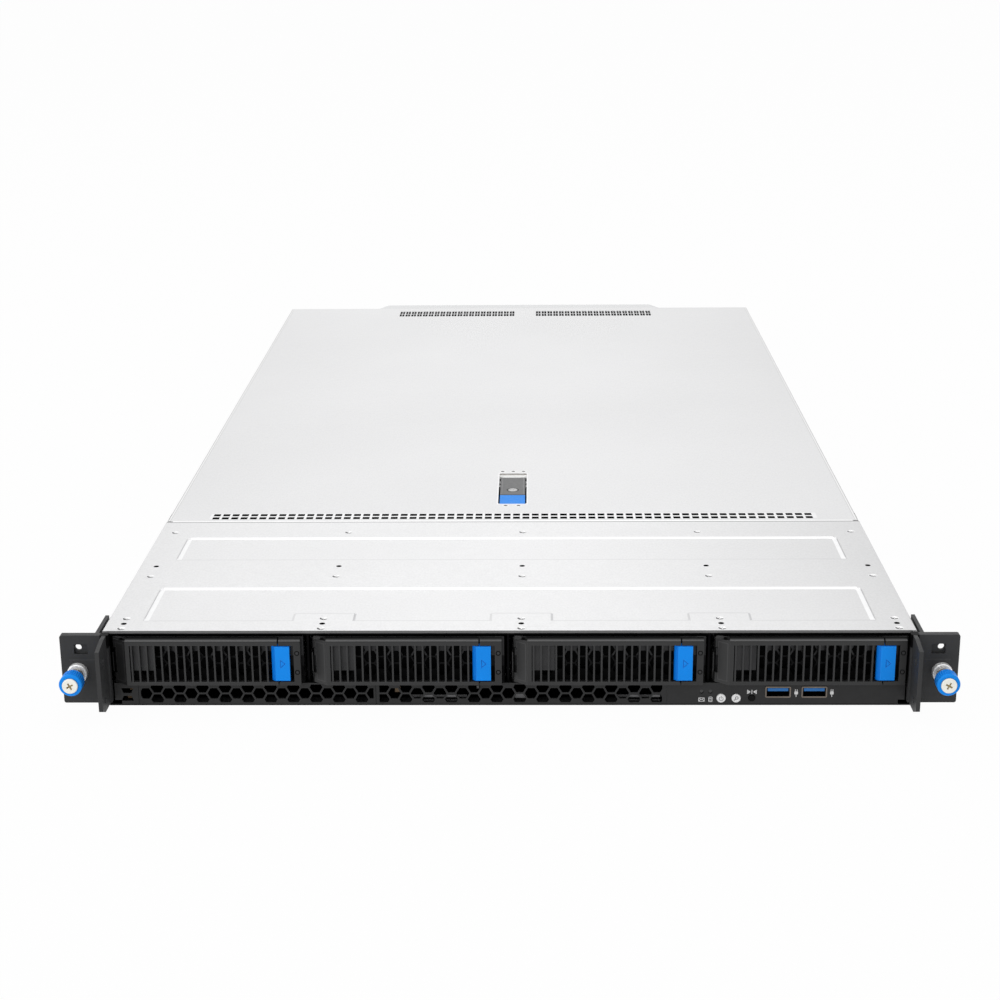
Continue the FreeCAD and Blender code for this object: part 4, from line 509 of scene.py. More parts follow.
def memory_material():
    look = Look("memory_modules", (0.010, 0.090, 0.045), 0.32)
    chips = look.within(at(-FAR, 0, 25), at(FAR, BEHIND, 36))
    rows = look.spread(look.noise(90.0, 1.0, (0.0, 1.0, 0.0)), 0.45, 0.50, 0.0, 1.0)
    look.mottle(60.0, 0.1)
    look.layer(look.sum("MULTIPLY", chips, rows), (0.012, 0.012, 0.013), 0.4)
    look.layer(look.within(at(-FAR, 0, 0), at(FAR, BEHIND, 13)), (0.65, 0.50, 0.18), 0.25, 1.0)
    look.relief(look.noise(1500.0), 0.00002, 0.2)
    return look.done()


def heatsink_material():
    look = Look("heatsink", (0.72, 0.725, 0.74), 0.30, metallic=1.0)
    look.mottle(80.0, 0.06, 3.0, (1.0, 0.1, 1.0))
    look.layer(look.within(at(-FAR, 0, 0), at(FAR, BEHIND, 14.9)), (0.72, 0.40, 0.26), 0.28, 1.0)
    look.uneven(300.0, 0.05, (1.0, 0.1, 1.0))
    look.relief(look.noise(900.0, 2.0, (1.0, 0.1, 1.0)), 0.00002, 0.3)
    return look.done()


def port_material():
    """Plated shells; the tongue of each front socket is blue and the mouths have painted shade inside."""
    look = Look("port_shell", (0.17, 0.145, 0.125), 0.36, metallic=0.85)
    look.mottle(120.0, 0.12)
    for x in USB_PLACES:
        look.layer(look.within(at(x - 6.2, -1.1, 5.7), at(x + 6.2, 7.5, 10.8)), BLACK, 0.5, 1.0)
        tongue = look.within(at(x - 5.6, -1.1, 8.55), at(x + 5.6, 7.0, 10.35))
        look.layer(tongue, (0.008, 0.15, 0.46), 0.35, 0.0)
    look.uneven(200.0, 0.08)
    look.relief(look.noise(1800.0), 0.00002, 0.2)
    return look.done()


def rear_port_material():
    look = Look("rear_port_shell", (0.55, 0.55, 0.56), 0.30, metallic=1.0)
    look.mottle(100.0, 0.08)
    for x in JACK_PLACES:
        mouth = look.within(at(x - 6.0, 828.0, 9.2), at(x + 6.0, 841.9, 18.7))
        look.layer(mouth, (0.02, 0.02, 0.02), 0.5, 0.0)
    for x in REAR_USB_PLACES:
        tongue = look.within(at(x - 5.6, 830.5, 10.7), at(x + 5.6, 841.95, 12.75))
        look.layer(tongue, (0.010, 0.13, 0.62), 0.4, 0.0)
    look.layer(look.within(at(12.0, 842.4, 9.9), at(28.0, 843.6, 18.2)), (0.010, 0.10, 0.50), 0.4, 0.0)
    look.uneven(200.0, 0.06)
    look.relief(look.noise(1500.0), 0.00002, 0.2)
    return look.done()


def psu_material(name, side):
    """Zinc plated case with a black inlet, handle and fan."""
    look = Look(name, (0.62, 0.625, 0.63), 0.38, metallic=0.95)
    look.mottle(50.0, 0.07)
    look.uneven(200.0, 0.06)

    def patch(x0, x1, y0, y1, z0, z1):
        low, high = span(side, x0, x1)
        return look.within(at(low, y0, z0), at(high, y1, z1))

    black = (0.012, 0.012, 0.013)
    look.layer(patch(151.0, 176.4, 828.0, 843.45, 6.0, 24.0), black, 0.5, 0.0)
    look.layer(patch(176.0, 184.0, 842.9, 870.0, 0.0, 60.0), black, 0.45, 0.0)
    look.layer(patch(180.0, 213.0, 836.0, 843.2, 4.0, 40.0), (0.02, 0.02, 0.021), 0.4, 0.3)
    look.relief(look.noise(900.0), 0.00003, 0.2)
    return look.done()


def screw_metal(name, colour, roughness):
    look = Look(name, colour, roughness, metallic=1.0)
    look.mottle(300.0, 0.10)
    look.uneven(900.0, 0.08)
    look.relief(look.noise(2500.0), 0.00002, 0.2)
    return look.done()


def chrome_material():
    look = Look("chrome", (0.97, 0.97, 0.97), 0.28, metallic=0.3)
    look.mottle(300.0, 0.06)
    look.uneven(900.0, 0.05)
    look.relief(look.noise(2500.0), 0.00002, 0.15)
    return look.done()


def blue_look(name):
    look = Look(name, (0.004, 0.275, 0.93), 0.38, specular=0.15)
    look.soft_edges(0.00035)
    look.mottle(40.0, 0.05)
    # Painted highlights along the edges
    look.paint_edge_highlights(0.0005, (0.10, 0.42, 0.95), 0.45)
    look.uneven(500.0, 0.04)
    look.relief(look.noise(2800.0), 0.00002, 0.2)
    return look


def blue_plastic(name):
    return blue_look(name).done()


def release_button_material():
    """Blue button whose slanted flank has painted shade, darker than its face."""
    look = blue_look("button_plastic")
    look.layer(look.within(at(-FAR, -6.05, 0), at(FAR, -3.0, ABOVE)), (0.002, 0.19, 0.76))
    return look.done()


def ivory_paint(name):
    look = Look(name, (0.97, 0.95, 0.87), 0.38, specular=0.5)
    look.soft_edges(0.0002)
    look.mottle(200.0, 0.04)
    recess = look.within(at(-FAR, -24.95, 0), at(FAR, 0, ABOVE))
    look.layer(recess, (0.35, 0.27, 0.12), 0.5, 0.3)
    look.relief(look.noise(2200.0), 0.00002, 0.2)
    return look.done()


def latch_lever_material():
    """Grey plastic with a dark ring round the lock and a dark seam at the grip, and a painted highlight on
    the hub at the rear.
    """
    look = Look("latch_lever_plastic", (0.155, 0.156, 0.158), 0.5, specular=0.35)
    look.soft_edges(0.0002)
    look.mottle(25.0, 0.06)
    look.layer(look.disc(*LOCK_PLACE, 4.1), (0.03, 0.03, 0.031), 0.6)
    look.layer(look.within(at(-9, 245.5, 0), at(9, 247.2, ABOVE)), (0.06, 0.06, 0.061), 0.6)
    # Painted highlight on the top of the hub at the rear
    look.layer(look.within(at(-9, 286.3, LID), at(9, 292, ABOVE)), (1.0, 1.0, 0.99), 0.4)
    for side in (-1, 1):
        low, high = span(side, 7.4, 6.9)
        look.layer(look.within(at(low, 247.2, LID), at(high, 286.3, ABOVE)), (0.23, 0.23, 0.235))
    look.uneven(400.0, 0.05)
    look.relief(look.noise(3200.0, 2.0), 0.00002, 0.25)
    return look.done()


def tub_material():
    """Sheet of the latch tub: painted shade inside, a painted highlight on the strip behind the lever and
    painted shade on the band behind that strip.
    """
    look = zinc_look("latch_tub_steel", (0.60, 0.605, 0.61), 0.35)
    hollow = look.within(at(-TUB_HALF, 224.1, 30), at(TUB_HALF, 288.0, 43.0))
    look.layer(hollow, (0.03, 0.03, 0.031), 0.6, 0.2)
    # Painted highlight on the strip behind the lever
    strip = look.within(at(-TUB_HALF, 288.0, 30), at(TUB_HALF, 290.6, COVER_TOP))
    look.layer(strip, (1.0, 1.0, 0.99), 0.5, 0.2)
    shaded = look.within(at(-TUB_HALF, 290.6, 30), at(TUB_HALF, 292.7, COVER_TOP))
    look.layer(shaded, (0.20, 0.175, 0.15), 0.5, 0.2)
    return look.done()


def cover_screw_material():
    """Plated heads: each shows a painted highlight a little off its middle and a painted crescent of shade
    on its near side.
    """
    look = Look("cover_screw_steel", SHEET, 0.40, metallic=0.8)
    look.mottle(300.0, 0.03)
    for y in SCREW_ROWS:
        # Painted highlight on each head
        look.layer(look.columns(y, 1.4, 0.5, 0.6), SHEET_HIGHLIGHT)
        hollow = look.columns(y, 2.1)
        lit = look.columns(y, 2.1, 0.5, 1.2)
        crescent = look.sum("SUBTRACT", hollow, look.sum("MULTIPLY", hollow, lit))
        look.layer(crescent, (0.05, 0.05, 0.053), 0.5, 0.3)
    look.relief(look.noise(2500.0), 0.00002, 0.2)
    return look.done()


def print_ink(name, colour):
    look = Look(name, colour, 0.5)
    look.mottle(1500.0, 0.04)
    look.relief(look.noise(4000.0), 0.00001, 0.2)
    return look.done()


def lamp_lens(name, colour):
    look = Look(name, colour, 0.18, specular=0.5)
    look.mottle(800.0, 0.08)
    look.shader.inputs["Coat Weight"].default_value = 0.4
    look.shader.inputs["Coat Roughness"].default_value = 0.05
    look.relief(look.noise(1800.0), 0.00002, 0.15)
    return look.done()


# Which material each CAD node wears

def dress(material, *names):
    for name in names:
        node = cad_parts[name]
        node.data.materials.clear()
        node.data.materials.append(material)


def numbered(name, count):
    return [name + "_%d" % (i + 1) for i in range(count)]


dress(front_cover_material(), "front_top_cover")
dress(rear_cover_material(), "rear_top_cover")
dress(chassis_material(), "chassis_base")
dress(tub_material(), "latch_housing")
dress(cover_screw_material(), "cover_screws")
cage = cage_steel()
dress(cage, "drive_cage", "rail_studs", "slot_covers")
steel = screw_metal("screw_steel", (0.42, 0.42, 0.43), 0.34)
dress(steel, "left_thumbscrew_clip", "right_thumbscrew_clip", "thumbscrew_springs")
dress(ear_material(), "left_ear", "right_ear")
panel_paint = powder_coat("panel_paint", (0.012, 0.012, 0.0125), 0.30)
dress(panel_paint, "front_vent_panel", "control_panel")
dress(lever_material(), *numbered("tray_lever", 4))
dress(carrier_material(), *numbered("drive_tray", 4))
dress(drive_material(), *numbered("hard_drive", 4))
blue = blue_plastic("blue_plastic")
dress(blue, "latch_grip", "left_thumbscrew_knob", "right_thumbscrew_knob", "psu_latch_1", "psu_latch_2")
dress(release_button_material(), *numbered("release_button", 4))
dress(latch_lever_material(), "latch_lever")
dress(screw_metal("lock_metal", (0.62, 0.62, 0.62), 0.32), "latch_lock")
dress(chrome_material(), "thumbscrew_ferrules")
dress(ivory_paint("ivory_head"), "left_thumbscrew_screw", "right_thumbscrew_screw")
dress(moulded("white_plastic", (0.90, 0.90, 0.90), 0.40, 0.5), "power_button", "uid_button")
dark = moulded("dark_plastic", (0.010, 0.010, 0.011), 0.45, 0.35)
dress(moulded("reset_plastic", (0.003, 0.003, 0.003), 0.5, 0.1), "reset_button")
dress(dark, "fan_housings", *numbered("fan_rotor", 6))
dress(port_material(), "usb_ports")
dress(rear_port_material(), "rear_io_ports")
dress(circuit_board("front_board"), "front_io_board")
dress(circuit_board("backplane_board", (at(-FAR, 100, 0), at(FAR, 153.99, ABOVE))), "backplane")
dress(circuit_board("main_board", (at(-FAR, 0, BOARD_TOP + 0.05), at(FAR, BEHIND, ABOVE))), "motherboard")
dress(memory_material(), "memory_modules")
dress(heatsink_material(), "cpu_heatsinks")
dress(psu_material("psu_case_1", -1), "psu_module_1")
dress(psu_material("psu_case_2", 1), "psu_module_2")


# Shapes for the small details

def piece(name, bm, material, body):
    bmesh.ops.recalc_face_normals(bm, faces=bm.faces)
    mesh = bpy.data.meshes.new(name)
    bm.to_mesh(mesh)
    bm.free()
    obj = bpy.data.objects.new(name, mesh)
    bpy.context.scene.collection.objects.link(obj)
    obj.data.materials.append(material)
    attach(obj, body)


def slab(bm, outline, thickness, to_frame):
    """A flat plate from a closed outline of (u, v) points; to_frame places (u, v, depth) in the frame."""
    lower = [bm.verts.new(to_frame(u, v, 0.0)) for u, v in outline]
    upper = [bm.verts.new(to_frame(u, v, thickness)) for u, v in outline]
    bm.faces.new(lower)
    bm.faces.new(list(reversed(upper)))
    count = len(outline)
    for i in range(count):
        j = (i + 1) % count
        bm.faces.new((lower[i], lower[j], upper[j], upper[i]))


def ring_slab(bm, outer, inner, thickness, to_frame):
    """A flat frame between two closed outlines with as many points."""
    loops = [[bm.verts.new(to_frame(u, v, depth)) for u, v in outline]
             for outline, depth in ((outer, 0.0), (inner, 0.0), (inner, thickness), (outer, thickness))]
    count = len(outer)
    for a, b in zip(loops, loops[1:] + loops[:1]):
        for i in range(count):
            j = (i + 1) % count
            bm.faces.new((a[i], a[j], b[j], b[i]))


def circle(u, v, radius, count=24, start=0.0, sweep=2 * math.pi, closed=True):
    steps = count if closed else count - 1
    turns = [start + sweep * i / steps for i in range(count)]
    return [(u + radius * math.cos(turn), v + radius * math.sin(turn)) for turn in turns]


def arc_band(u, v, radius, width, start, sweep, count=20):
    outer = circle(u, v, radius + width / 2, count, start, sweep, closed=False)
    inner = circle(u, v, radius - width / 2, count, start, sweep, closed=False)
    return outer + list(reversed(inner))


def bar(u0, v0, u1, v1, width):
    """Outline of a straight stroke between two points."""
    length = math.hypot(u1 - u0, v1 - v0)
    du = -(v1 - v0) / length * width / 2
    dv = (u1 - u0) / length * width / 2
    return [(u0 + du, v0 + dv), (u1 + du, v1 + dv), (u1 - du, v1 - dv), (u0 - du, v0 - dv)]


def rectangle(u0, v0, u1, v1):
    return [(u0, v0), (u1, v0), (u1, v1), (u0, v1)]


def rounded(u0, v0, u1, v1, radius, count=5):
    points = []
    for cu, cv, start in ((u1 - radius, v1 - radius, 0), (u0 + radius, v1 - radius, 90),
                          (u0 + radius, v0 + radius, 180), (u1 - radius, v0 + radius, 270)):
        points += circle(cu, cv, radius, count, math.radians(start), math.pi / 2, closed=False)
    return points


def facing_front(y):
    """Places drawing points (x, z) on a plane that faces the front, with depth towards the viewer."""
    return lambda u, v, depth: at(u, y - depth, v)


def facing_up(z):
    return lambda u, v, depth: at(u, v, z + depth)


def facing_rear(y):
    return lambda u, v, depth: at(u, y + depth, v)


INK = 0.05


def envelope(bm, u, v, place):
    """A plain envelope, the common sign for a message."""
    outer = rectangle(u - 1.7, v - 1.15, u + 1.7, v + 1.15)
    inner = rectangle(u - 1.4, v - 0.85, u + 1.4, v + 0.85)
    ring_slab(bm, outer, inner, INK, place)
    slab(bm, bar(u - 1.5, v + 0.95, u, v - 0.1, 0.3), INK, place)
    slab(bm, bar(u + 1.5, v + 0.95, u, v - 0.1, 0.3), INK, place)
    slab(bm, bar(u - 1.5, v - 0.95, u - 0.5, v + 0.1, 0.25), INK, place)
    slab(bm, bar(u + 1.5, v - 0.95, u + 0.5, v + 0.1, 0.25), INK, place)


def disk_stack(bm, u, v, place):
    """A small drum, the common sign for a store of data."""
    outer = rounded(u - 1.05, v - 1.5, u + 1.05, v + 1.5, 0.5)
    inner = rounded(u - 0.75, v - 1.2, u + 0.75, v + 1.2, 0.3)
    ring_slab(bm, outer, inner, INK, place)
    for dv in (-0.45, 0.45):
        slab(bm, bar(u - 0.8, v + dv, u + 0.8, v + dv, 0.28), INK, place)


def restart_sign(bm, u, v, place):
    """Two triangles that point at each other between upright strokes."""
    for side in (-1, 1):
        slab(bm, bar(u + side * 2.4, v - 1.2, u + side * 2.4, v + 1.2, 0.4), INK, place)
        slab(bm, [(u + side * 2.0, v - 1.1), (u + side * 2.0, v + 1.1), (u + side * 0.7, v)], INK, place)
    slab(bm, bar(u, v - 1.2, u, v + 1.2, 0.4), INK, place)


def plug_sign(bm, u, v, place):
    """A plain plug: a body with two prongs and a lead."""
    slab(bm, rounded(u - 0.95, v - 0.9, u + 0.95, v + 0.9, 0.35), INK, place)
    slab(bm, bar(u - 0.5, v + 0.8, u - 0.5, v + 2.1, 0.35), INK, place)
    slab(bm, bar(u + 0.5, v + 0.8, u + 0.5, v + 2.1, 0.35), INK, place)
    slab(bm, bar(u, v - 0.8, u, v - 2.3, 0.4), INK, place)


def make_panel_signs():
    bm = bmesh.new()
    place = facing_front(STRIP_FRONT)
    envelope(bm, 104.8, 3.8, place)
    disk_stack(bm, 109.65, 3.9, place)
    restart_sign(bm, 132.0, 8.3, place)
    plug_sign(bm, 155.95, 7.65, place)
    plug_sign(bm, 175.24, 7.65, place)
    piece("panel_signs", bm, print_ink("white_ink", (0.78, 0.78, 0.78)), "chassis")


def make_button_signs():
    ink = print_ink("grey_ink", (0.24, 0.24, 0.25))
    face = facing_front(BUTTON_FACE)
    bm = bmesh.new()
    slab(bm, arc_band(115.4, 4.5, 1.1, 0.32, math.radians(125), math.radians(290)), INK, face)
    slab(bm, bar(115.4, 4.6, 115.4, 6.1, 0.32), INK, face)
    piece("power_sign", bm, ink, "power_button")
    bm = bmesh.new()
    ring_slab(bm, circle(123.85, 5.0, 0.95), circle(123.85, 5.0, 0.55), INK, face)
    slab(bm, bar(123.25, 4.4, 122.45, 3.5, 0.45), INK, face)
    piece("locate_sign", bm, ink, "uid_button")


CLINCH_PLACES = ((-7.3, 297.0), (0.0, 297.0), (7.0, 297.0), (-4.3, 220.4), (4.1, 220.4))


def make_latch_clinches():
    """Pressed joints that hold the latch tub under the cover: a ring with a painted highlight and a hollow
    with painted shade.
    """
    rims = bmesh.new()
    hollows = bmesh.new()
    place = facing_up(COVER_TOP)
    for x, y in CLINCH_PLACES:
        inner = circle(x, y, 1.3)
        ring_slab(rims, circle(x, y, 2.0), inner, 0.06, place)
        slab(hollows, inner, 0.015, place)
    # Painted highlight on the rims
    rim_highlight = zinc_sheet("clinch_rim_highlight", (0.92, 0.92, 0.92), 0.42)
    piece("latch_clinch_rims", rims, rim_highlight, "rear_cover")
    # Painted shade in the hollows
    clinch_hollow_shade = zinc_sheet("clinch_hollow_shade", (0.16, 0.16, 0.16), 0.5)
    piece("latch_clinch_hollows", hollows, clinch_hollow_shade, "rear_cover")


TAB_SPANS = ((276.0, 281.0), (268.0, 272.5), (226.0, 232.0))
TAB_BASE = 40.6


def make_latch_tabs():
    """Bent ears of the tub seen along both sides of the latch opening."""
    bm = bmesh.new()
    for side in (-1, 1):
        for y0, y1 in TAB_SPANS:
            low, high = span(side, TUB_HALF, 8.55)
            slab(bm, rounded(low, y0, high, y1, 0.3), 0.6, facing_up(TAB_BASE))
    tab_steel = zinc_sheet("tab_steel", (0.55, 0.555, 0.56), 0.4)
    piece("latch_tabs", bm, tab_steel, "rear_cover")


LID_SCREWS = ((-44, 12), (44, 12), (-44, 77), (44, 77), (-44, 140), (44, 140), (0, 48))


def make_drive_lids():
    """Motor boss, lid screws and a bare foil plate on each drive."""
    foil = zinc_sheet("drive_foil", (0.70, 0.70, 0.71), 0.5)
    dark_steel = screw_metal("drive_screw_steel", (0.30, 0.30, 0.31), 0.35)
    for i, x in enumerate(BAY_CENTRES):
        bm = bmesh.new()
        place = facing_up(DRIVE_TOP)
        slab(bm, rounded(x - 38, 84, x + 38, 134, 2.0), 0.06, place)
        ring_slab(bm, circle(x, 48, 13.0, 48), circle(x, 48, 11.5, 48), 0.08, place)
        piece("drive_foil_%d" % (i + 1), bm, foil, "drive_%d" % (i + 1))
        bm = bmesh.new()
        for dx, y in LID_SCREWS:
            ring_slab(bm, circle(x + dx, y, 2.3), circle(x + dx, y, 1.0), 0.12, place)
        piece("drive_lid_screws_%d" % (i + 1), bm, dark_steel, "drive_%d" % (i + 1))


TRAY_WALL = 52.1
TRAY_SCREW_ROWS = (32.0, 74.0, 134.0)
TRAY_SCREW_HEIGHT = 21.15


def make_tray_screws():
    """Countersunk screws that hold each drive in its tray."""
    head = screw_metal("tray_screw_steel", (0.35, 0.35, 0.36), 0.3)
    for i, x in enumerate(BAY_CENTRES):
        bm = bmesh.new()
        for side in (-1, 1):
            wall = side * TRAY_WALL
            for y in TRAY_SCREW_ROWS:
                def place(u, v, depth, wall=wall, side=side):
                    return at(x + wall - side * depth, u, v)
                hub = circle(y, TRAY_SCREW_HEIGHT, 0.6)
                ring_slab(bm, circle(y, TRAY_SCREW_HEIGHT, 1.6), hub, 0.5, place)
                slab(bm, hub, 0.9, lambda u, v, depth, p=place: p(u, v, depth + 0.4))
        piece("tray_screws_%d" % (i + 1), bm, head, "drive_%d" % (i + 1))


POST_EDGE = 50.75
PIPE_INSET = 1.8
LIGHT_HEIGHTS = (21.9, 32.9)


def make_light_rings():
    """Dark collars round the light pipes in the end post of each carrier."""
    collar = moulded("collar_plastic", (0.003, 0.003, 0.003), 0.6, 0.05)
    lens = moulded("light_pipe", (0.030, 0.030, 0.032), 0.4, 0.3)
    place = facing_front(FRONT_PLANE)
    for i, x in enumerate(BAY_CENTRES):
        rim = bmesh.new()
        face = bmesh.new()
        for height in LIGHT_HEIGHTS:
            u = x + POST_EDGE - PIPE_INSET
            ring_slab(rim, circle(u, height, 1.35), circle(u, height, 0.88), 0.12, place)
            slab(face, circle(u, height, 0.86), 0.05, place)
        piece("light_collars_%d" % (i + 1), rim, collar, "drive_%d" % (i + 1))
        piece("light_lenses_%d" % (i + 1), face, lens, "drive_%d" % (i + 1))


def make_carrier_plates():
    """A grey plate behind the first slats of each carrier."""
    look = Look("carrier_plate", (0.055, 0.055, 0.057), 0.45, specular=0.3)
    look.mottle(60.0, 0.25)
    look.relief(look.noise(1800.0), 0.00002, 0.2)
    material = look.done()
    for i, x in enumerate(BAY_CENTRES):
        bm = bmesh.new()
        slab(bm, rounded(x - 42.0, 21.5, x - 29.0, 36.4, 0.3), 0.3, facing_front(-2.0))
        piece("carrier_plate_%d" % (i + 1), bm, material, "drive_%d" % (i + 1))


SLOT_FILM = 39.0
VENT_FILM = 39.4


def make_shade_films():
    """Black sheets of painted shade under the row slots and the rear vents of the cover."""
    look = Look("painted_shade_film", BLACK, 0.5, metallic=1.0)
    look.mottle(40.0, 0.2)
    look.relief(look.noise(300.0), 0.00005, 0.3)
    bm = bmesh.new()
    slab(bm, rounded(-205.0, 189.5, 205.0, 208.5, 1.5), 0.2, facing_up(SLOT_FILM))
    slab(bm, rounded(-120.0, 800.0, 133.0, 836.0, 1.5), 0.2, facing_up(VENT_FILM))
    piece("shade_films", bm, look.done(), "chassis")


LAMP_PLACES = (104.8, 109.55)
LAMP_HEIGHT = 8.35


def make_front_lamps():
    lens = lamp_lens("lamp_lens", (0.012, 0.012, 0.012))
    bm = bmesh.new()
    for x in LAMP_PLACES:
        slab(bm, circle(x, LAMP_HEIGHT, 0.95), 0.2, facing_front(-0.25))
    piece("panel_lamps", bm, lens, "chassis")


AMBER_BITS = ((-206.9, -205.0, 8.3, 10.4), (-208.4, -206.2, 3.4, 5.2), (-61.9, -58.9, 6.9, 10.2))


def make_amber_film():
    """Bits of insulating film that stand behind the vents."""
    look = Look("amber_film", (0.13, 0.085, 0.045), 0.35, specular=0.3)
    look.mottle(900.0, 0.25)
    look.relief(look.noise(500.0), 0.00005, 0.4)
    bm = bmesh.new()
    for x0, x1, z0, z1 in AMBER_BITS:
        slab(bm, rounded(x0, z0, x1, z1, 0.3), 0.3, facing_front(VENT_BACK))
    piece("amber_film", bm, look.done(), "chassis")


def make_duct_sheets():
    """Bent edges of sheet that glint through the vents of the second group."""
    sheet = zinc_sheet("duct_sheet", (0.13, 0.13, 0.133), 0.45)
    bm = bmesh.new()
    for x0, x1 in ((-52.7, -22.6), (58.6, 82.6)):
        slab(bm, rounded(x0, 3.9, x1, 5.3, 0.2), 0.4, facing_front(VENT_BACK))
        slab(bm, rounded(x0 + 6, 1.6, x1, 2.4, 0.2), 0.4, facing_front(VENT_BACK))
    slab(bm, rounded(3.6, 3.3, 9.0, 6.9, 0.3), 0.3, facing_front(VENT_BACK))
    slab(bm, rounded(-17.3, 9.0, -15.9, 10.6, 0.3), 0.3, facing_front(VENT_BACK))
    piece("duct_sheets", bm, sheet, "chassis")


def make_psu_lamps():
    lens = lamp_lens("supply_lamp", (0.30, 0.42, 0.20))
    for i, side in ((1, -1), (2, 1)):
        bm = bmesh.new()
        for x in (158.0, 164.0):
            slab(bm, circle(side * x, 35.0, 1.3), 0.3, facing_rear(PSU_REAR))
        piece("supply_lamps_%d" % i, bm, lens, "psu_%d" % i)


REAR_SCREWS = ((-125.0, 13.0), (-50.0, 13.0), (50.0, 13.0), (-128.0, 37.5),
               (-44.0, 20.4), (44.0, 20.4), (128.0, 37.5))


def make_rear_screws():
    """Screws that hold the slot covers and the sockets' plate to the rear wall."""
    bm = bmesh.new()
    place = facing_rear(BODY_LENGTH)
    for x, z in REAR_SCREWS:
        ring_slab(bm, circle(x, z, 2.2), circle(x, z, 0.9), 0.6, place)
        slab(bm, circle(x, z, 0.9), 0.3, place)
    steel = screw_metal("rear_screw_steel", (0.45, 0.45, 0.46), 0.3)
    piece("rear_screws", bm, steel, "chassis")


make_panel_signs()
make_button_signs()
make_latch_clinches()
make_latch_tabs()
make_drive_lids()
make_tray_screws()
make_light_rings()
make_front_lamps()
make_carrier_plates()
make_shade_films()
make_amber_film()
make_duct_sheets()
make_psu_lamps()
make_rear_screws()


# Stage, light and camera

FLOOR_HALF = 9.0
FLOOR_DROP = 0.0003
FLOOR_WHITE = 0.97
CAMERA_LENS = 67.57
CAMERA_SENSOR = 36.0
CAMERA_PLACE = (0.014, -1.36225, 0.417)
CAMERA_YAW = -1.08
CAMERA_PITCH = 17.66
CAMERA_ROLL = -0.46


def background_share(tree):
    """1 where a ray shows the background: straight to the camera, or by way of metal or glass."""
    path = tree.nodes.new("ShaderNodeLightPath")
    shares = [path.outputs[name] for name in ("Is Camera Ray", "Is Glossy Ray", "Is Transmission Ray")]
    total = shares[0]
    for share in shares[1:]:
        node = tree.nodes.new("ShaderNodeMath")
        node.operation = "MAXIMUM"
        tree.links.new(total, node.inputs[0])
        tree.links.new(share, node.inputs[1])
        total = node.outputs[0]
    return total


def make_world(soft_strength):
    world = bpy.data.worlds.new("studio")
    bpy.context.scene.world = world
    world.use_nodes = True
    tree = world.node_tree
    tree.nodes.clear()
    soft = tree.nodes.new("ShaderNodeBackground")
    soft.inputs["Color"].default_value = (1.0, 1.0, 1.0, 1.0)
    soft.inputs["Strength"].default_value = soft_strength
    white = tree.nodes.new("ShaderNodeBackground")
    white.inputs["Color"].default_value = (1.0, 1.0, 1.0, 1.0)
    white.inputs["Strength"].default_value = 1.0
    mix = tree.nodes.new("ShaderNodeMixShader")
    output = tree.nodes.new("ShaderNodeOutputWorld")
    tree.links.new(background_share(tree), mix.inputs["Fac"])
    tree.links.new(soft.outputs[0], mix.inputs[1])
    tree.links.new(white.outputs[0], mix.inputs[2])
    tree.links.new(mix.outputs[0], output.inputs["Surface"])


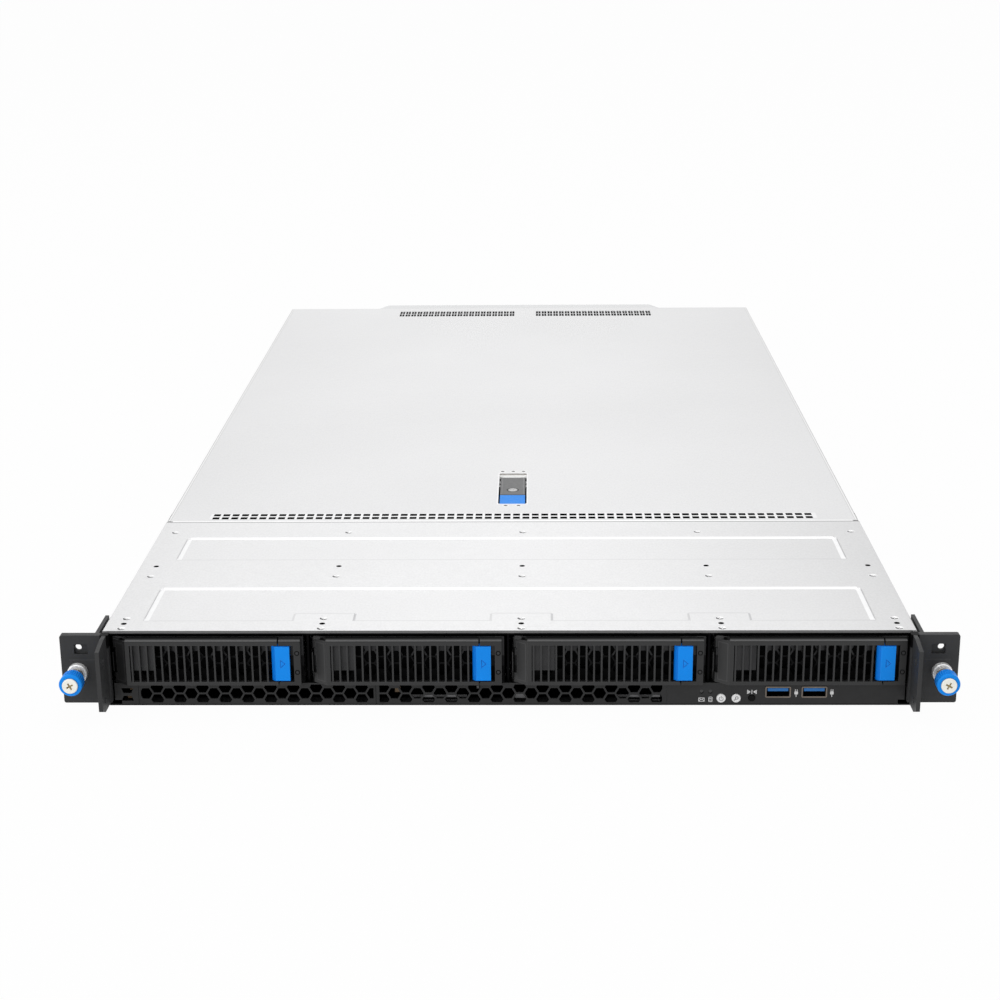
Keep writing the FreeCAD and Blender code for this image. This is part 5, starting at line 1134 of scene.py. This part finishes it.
def make_floor():
    """Pale floor; the camera sees it nearly white, with the server's shadow still on it."""
    bm = bmesh.new()
    bmesh.ops.create_grid(bm, x_segments=1, y_segments=1, size=FLOOR_HALF)
    mesh = bpy.data.meshes.new("floor")
    bm.to_mesh(mesh)
    bm.free()
    floor = bpy.data.objects.new("floor", mesh)
    floor.location.z = -FLOOR_DROP
    bpy.context.scene.collection.objects.link(floor)
    material = bpy.data.materials.new("floor_paper")
    material.use_nodes = True
    tree = material.node_tree
    tree.nodes.clear()
    paper = tree.nodes.new("ShaderNodeBsdfDiffuse")
    paper.inputs["Color"].default_value = (0.80, 0.80, 0.80, 1.0)
    white = tree.nodes.new("ShaderNodeEmission")
    white.inputs["Strength"].default_value = 1.0
    share = tree.nodes.new("ShaderNodeMath")
    share.operation = "MULTIPLY"
    share.inputs[1].default_value = FLOOR_WHITE
    tree.links.new(background_share(tree), share.inputs[0])
    mix = tree.nodes.new("ShaderNodeMixShader")
    output = tree.nodes.new("ShaderNodeOutputMaterial")
    tree.links.new(share.outputs[0], mix.inputs["Fac"])
    tree.links.new(paper.outputs[0], mix.inputs[1])
    tree.links.new(white.outputs[0], mix.inputs[2])
    tree.links.new(mix.outputs[0], output.inputs["Surface"])
    floor.data.materials.append(material)


def make_lamp(name, place, target, width, depth, power):
    light = bpy.data.lights.new(name, "AREA")
    light.shape = "RECTANGLE"
    light.size = width
    light.size_y = depth
    light.energy = power
    lamp = bpy.data.objects.new(name, light)
    lamp.location = place
    aim = Vector(target) - Vector(place)
    lamp.rotation_euler = aim.to_track_quat("-Z", "Y").to_euler()
    bpy.context.scene.collection.objects.link(lamp)


def make_camera():
    """The photograph's camera, solved from the corners of the cover and the front."""
    camera_data = bpy.data.cameras.new("camera")
    camera_data.lens = CAMERA_LENS
    camera_data.sensor_width = CAMERA_SENSOR
    camera_data.clip_start = 0.01
    camera_data.clip_end = 50.0
    camera = bpy.data.objects.new("camera", camera_data)
    yaw = math.radians(CAMERA_YAW)
    pitch = math.radians(CAMERA_PITCH)
    roll = math.radians(CAMERA_ROLL)
    level = Vector((math.sin(yaw), math.cos(yaw), 0.0))
    across = Vector((math.cos(yaw), -math.sin(yaw), 0.0))
    upright = Vector((0.0, 0.0, 1.0))
    forward = level * math.cos(pitch) - upright * math.sin(pitch)
    above = level * math.sin(pitch) + upright * math.cos(pitch)
    right = across * math.cos(roll) + above * math.sin(roll)
    up = above * math.cos(roll) - across * math.sin(roll)
    turn = Matrix((right, up, -forward)).transposed()
    camera.matrix_world = Matrix.Translation(CAMERA_PLACE) @ turn.to_4x4()
    bpy.context.scene.collection.objects.link(camera)
    bpy.context.scene.camera = camera


make_world(0.55)
make_floor()
make_lamp("overhead", (0.0, 0.2, 2.6), (0.0, 0.0, 0.0), 3.2, 3.2, 26.0)
make_lamp("front_fill", (-0.9, -2.6, 1.2), (0.0, -0.4, 0.0), 1.6, 1.0, 14.0)
make_lamp("side_fill", (-2.4, -1.9, 0.9), (0.0, -0.42, 0.02), 1.0, 1.0, 10.0)
make_camera()
bpy.context.scene.view_settings.view_transform = "Standard"
